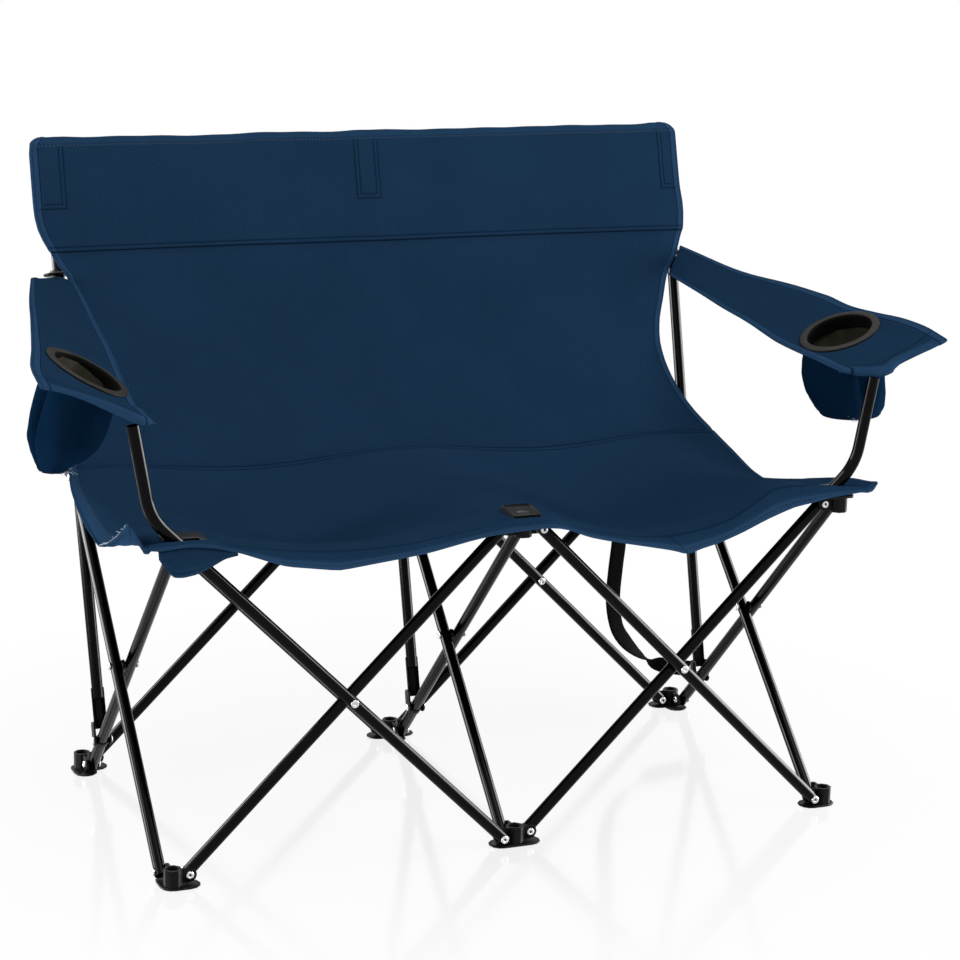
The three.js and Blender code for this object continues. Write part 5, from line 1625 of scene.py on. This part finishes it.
def threads(name, lines, body):
    """Thin strands along lines of points in mm, as one mesh."""
    curve = bpy.data.curves.new(name, "CURVE")
    curve.dimensions = "3D"
    curve.bevel_depth = STRAND_R * MM
    curve.bevel_resolution = 1
    for marks in lines:
        spline = curve.splines.new("POLY")
        spline.points.add(len(marks) - 1)
        for point, mark in zip(spline.points, marks):
            point.co = (*at(*mark), 1)
    piece = bpy.data.objects.new(name, curve)
    scene.collection.objects.link(piece)
    only(piece)
    bpy.ops.object.convert(target="MESH")
    return dress(bpy.context.object, RAW_THREAD, "cloth", body)


def frayed(roots, seed, reach):
    """Short bent lines from each root."""
    draw = np.random.default_rng(seed)
    lines = []
    for root in roots:
        way = draw.normal(0, 1, 3)
        way[2] = -abs(way[2]) * 0.4
        marks = [np.array(root)]
        for _ in range(4):
            way = way + draw.normal(0, 0.7, 3)
            marks.append(marks[-1] + way / np.linalg.norm(way) * reach / 4)
        lines.append(marks)
    return lines


for name, side in SIDE_OF.items():
    draw = np.random.default_rng(21)
    floor_x, floor_y, floor_z = BAG_PATH[name][-1]
    roots = [(side * (floor_x - 14 + draw.uniform(-9, 9)), floor_y - POCKET_FRAY[name] + draw.uniform(-2, 2),
              floor_z + draw.uniform(0, 6)) for _ in range(22)]
    strands = threads("pocket_threads_" + name, frayed(roots, 22, 7), "armrest_front_" + name)
    flatten(strands)

draw = np.random.default_rng(31)
raw_y = np.linspace(192, 40, 70)
raw_x = sides_at(raw_y)[0]
raw_z = seat_top(raw_x, raw_y) + draw.normal(0, 0.9, len(raw_y)) + 0.6
zigzag = np.stack([raw_x + draw.normal(0, 0.7, len(raw_y)), raw_y, raw_z], axis=-1)
raw = threads("seat_raw_edge", [zigzag] + frayed(zigzag[::6], 33, 6), "seat_front")
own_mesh(raw)
print("threads: 3")

# %% [markdown]
# ## Floor and light
#
# The chair stands on a pale, slightly glossy floor in a white room. The floor shows nearly white to the
# camera and keeps the chair's soft shadow. Two softboxes light the chair from above and a tall one from
# each side. Three white cards show only in reflections, where they draw the long narrow lights along the
# black tubes.


# %% Floor
FLOOR_M = 160


def seen_plainly(tree):
    """1 for what the camera sees directly, in a reflection or through glass."""
    path = add_node(tree, "ShaderNodeLightPath")
    seen = add_node(tree, "ShaderNodeMath",
                    {0: path.outputs["Is Camera Ray"], 1: path.outputs["Is Glossy Ray"]}, operation="ADD")
    return add_node(tree, "ShaderNodeMath", {0: seen, 1: path.outputs["Is Transmission Ray"]},
                    operation="ADD", use_clamp=True)


bpy.ops.object.select_all(action="DESELECT")
bpy.ops.mesh.primitive_plane_add(size=FLOOR_M, location=(0, 0, 0))
floor = bpy.context.object
floor.name = "studio_floor"
material, tree, output = new_material("pale_floor")
place = add_node(tree, "ShaderNodeTexCoord").outputs["Object"]
away = add_node(tree, "ShaderNodeVectorMath", {0: place}, operation="LENGTH").outputs["Value"]
fade = add_node(tree, "ShaderNodeMapRange", {"Value": away, 1: 0.35, 2: 0.95, 3: 0.9, 4: 1.0})
mirror = add_node(tree, "ShaderNodeMapRange", {"Value": away, 1: 0.35, 2: 0.85, 3: 0.09, 4: 0.0})
speck = add_node(tree, "ShaderNodeTexNoise", {"Vector": place, "Scale": 9.0, "Detail": 3.0})
gloss = add_node(tree, "ShaderNodeMapRange", {"Value": speck, 3: 0.08, 4: 0.14})
matt = add_node(tree, "ShaderNodeBsdfPrincipled",
                {"Base Color": srgb("#f4f4f4"), "Roughness": gloss, "Specular IOR Level": 0.5})
glow = add_node(tree, "ShaderNodeEmission", {0: (1, 1, 1, 1), 1: 1.0})
share = add_node(tree, "ShaderNodeMath", {0: seen_plainly(tree), 1: fade}, operation="MULTIPLY")
lit = add_node(tree, "ShaderNodeMixShader", {0: share, 1: matt, 2: glow})
sheen = add_node(tree, "ShaderNodeBsdfGlossy", {"Color": (1, 1, 1, 1), "Roughness": gloss})
polished = add_node(tree, "ShaderNodeMixShader", {0: mirror, 1: lit, 2: sheen})
tree.links.new(polished.outputs[0], output.inputs[0])
floor.data.materials.append(material)
print("floor:", FLOOR_M, "m wide")

# %% World and lamps
ROOM_LIGHT = 0.12  # what the white room adds to the lamps
world = bpy.data.worlds.new("white_room")
scene.world = world
world.use_nodes = True
tree = world.node_tree
tree.nodes.clear()
ambient = add_node(tree, "ShaderNodeBackground", {0: (1, 1, 1, 1), 1: ROOM_LIGHT})
white = add_node(tree, "ShaderNodeBackground", {0: (1, 1, 1, 1), 1: 1.0})
room = add_node(tree, "ShaderNodeMixShader", {0: seen_plainly(tree), 1: ambient, 2: white})
add_node(tree, "ShaderNodeOutputWorld", {0: room})


def softbox(name, place, target, size, watts, card=False):
    """A softbox, or a white card that shows only in reflections."""
    lamp = bpy.data.lights.new(name, "AREA")
    lamp.shape = "RECTANGLE"
    lamp.size, lamp.size_y = size
    lamp.energy = watts
    box = bpy.data.objects.new(name, lamp)
    scene.collection.objects.link(box)
    box.matrix_world = Matrix.Translation(place) @ (
        Vector(target) - Vector(place)).to_track_quat("-Z", "Y").to_matrix().to_4x4()
    box.visible_diffuse = not card


# each line: name, place, what it points at, size and watts
softbox("high_front", (0.7, -2.4, 3.2), (0, 0.1, 0.5), (2.6, 1.8), 64)
softbox("overhead", (0, 0.3, 3.4), (0, 0.1, 0.3), (2.4, 1.6), 6)
softbox("left_strip", (-3.0, -0.2, 1.2), (0, 0, 0.5), (0.5, 2.2), 34)
softbox("right_strip", (3.0, -0.6, 1.2), (0, 0, 0.5), (0.5, 2.2), 34)
softbox("right_card", (3.0, -0.3, 1.0), (0, 0, 0.4), (2.6, 2.0), 280, card=True)
softbox("left_card", (-2.6, 1.6, 1.0), (0, 0, 0.4), (2.0, 2.0), 310, card=True)
softbox("top_card", (0, 0.4, 3.0), (0, 0, 0.4), (3.0, 2.0), 200, card=True)
print("lamps: 7")
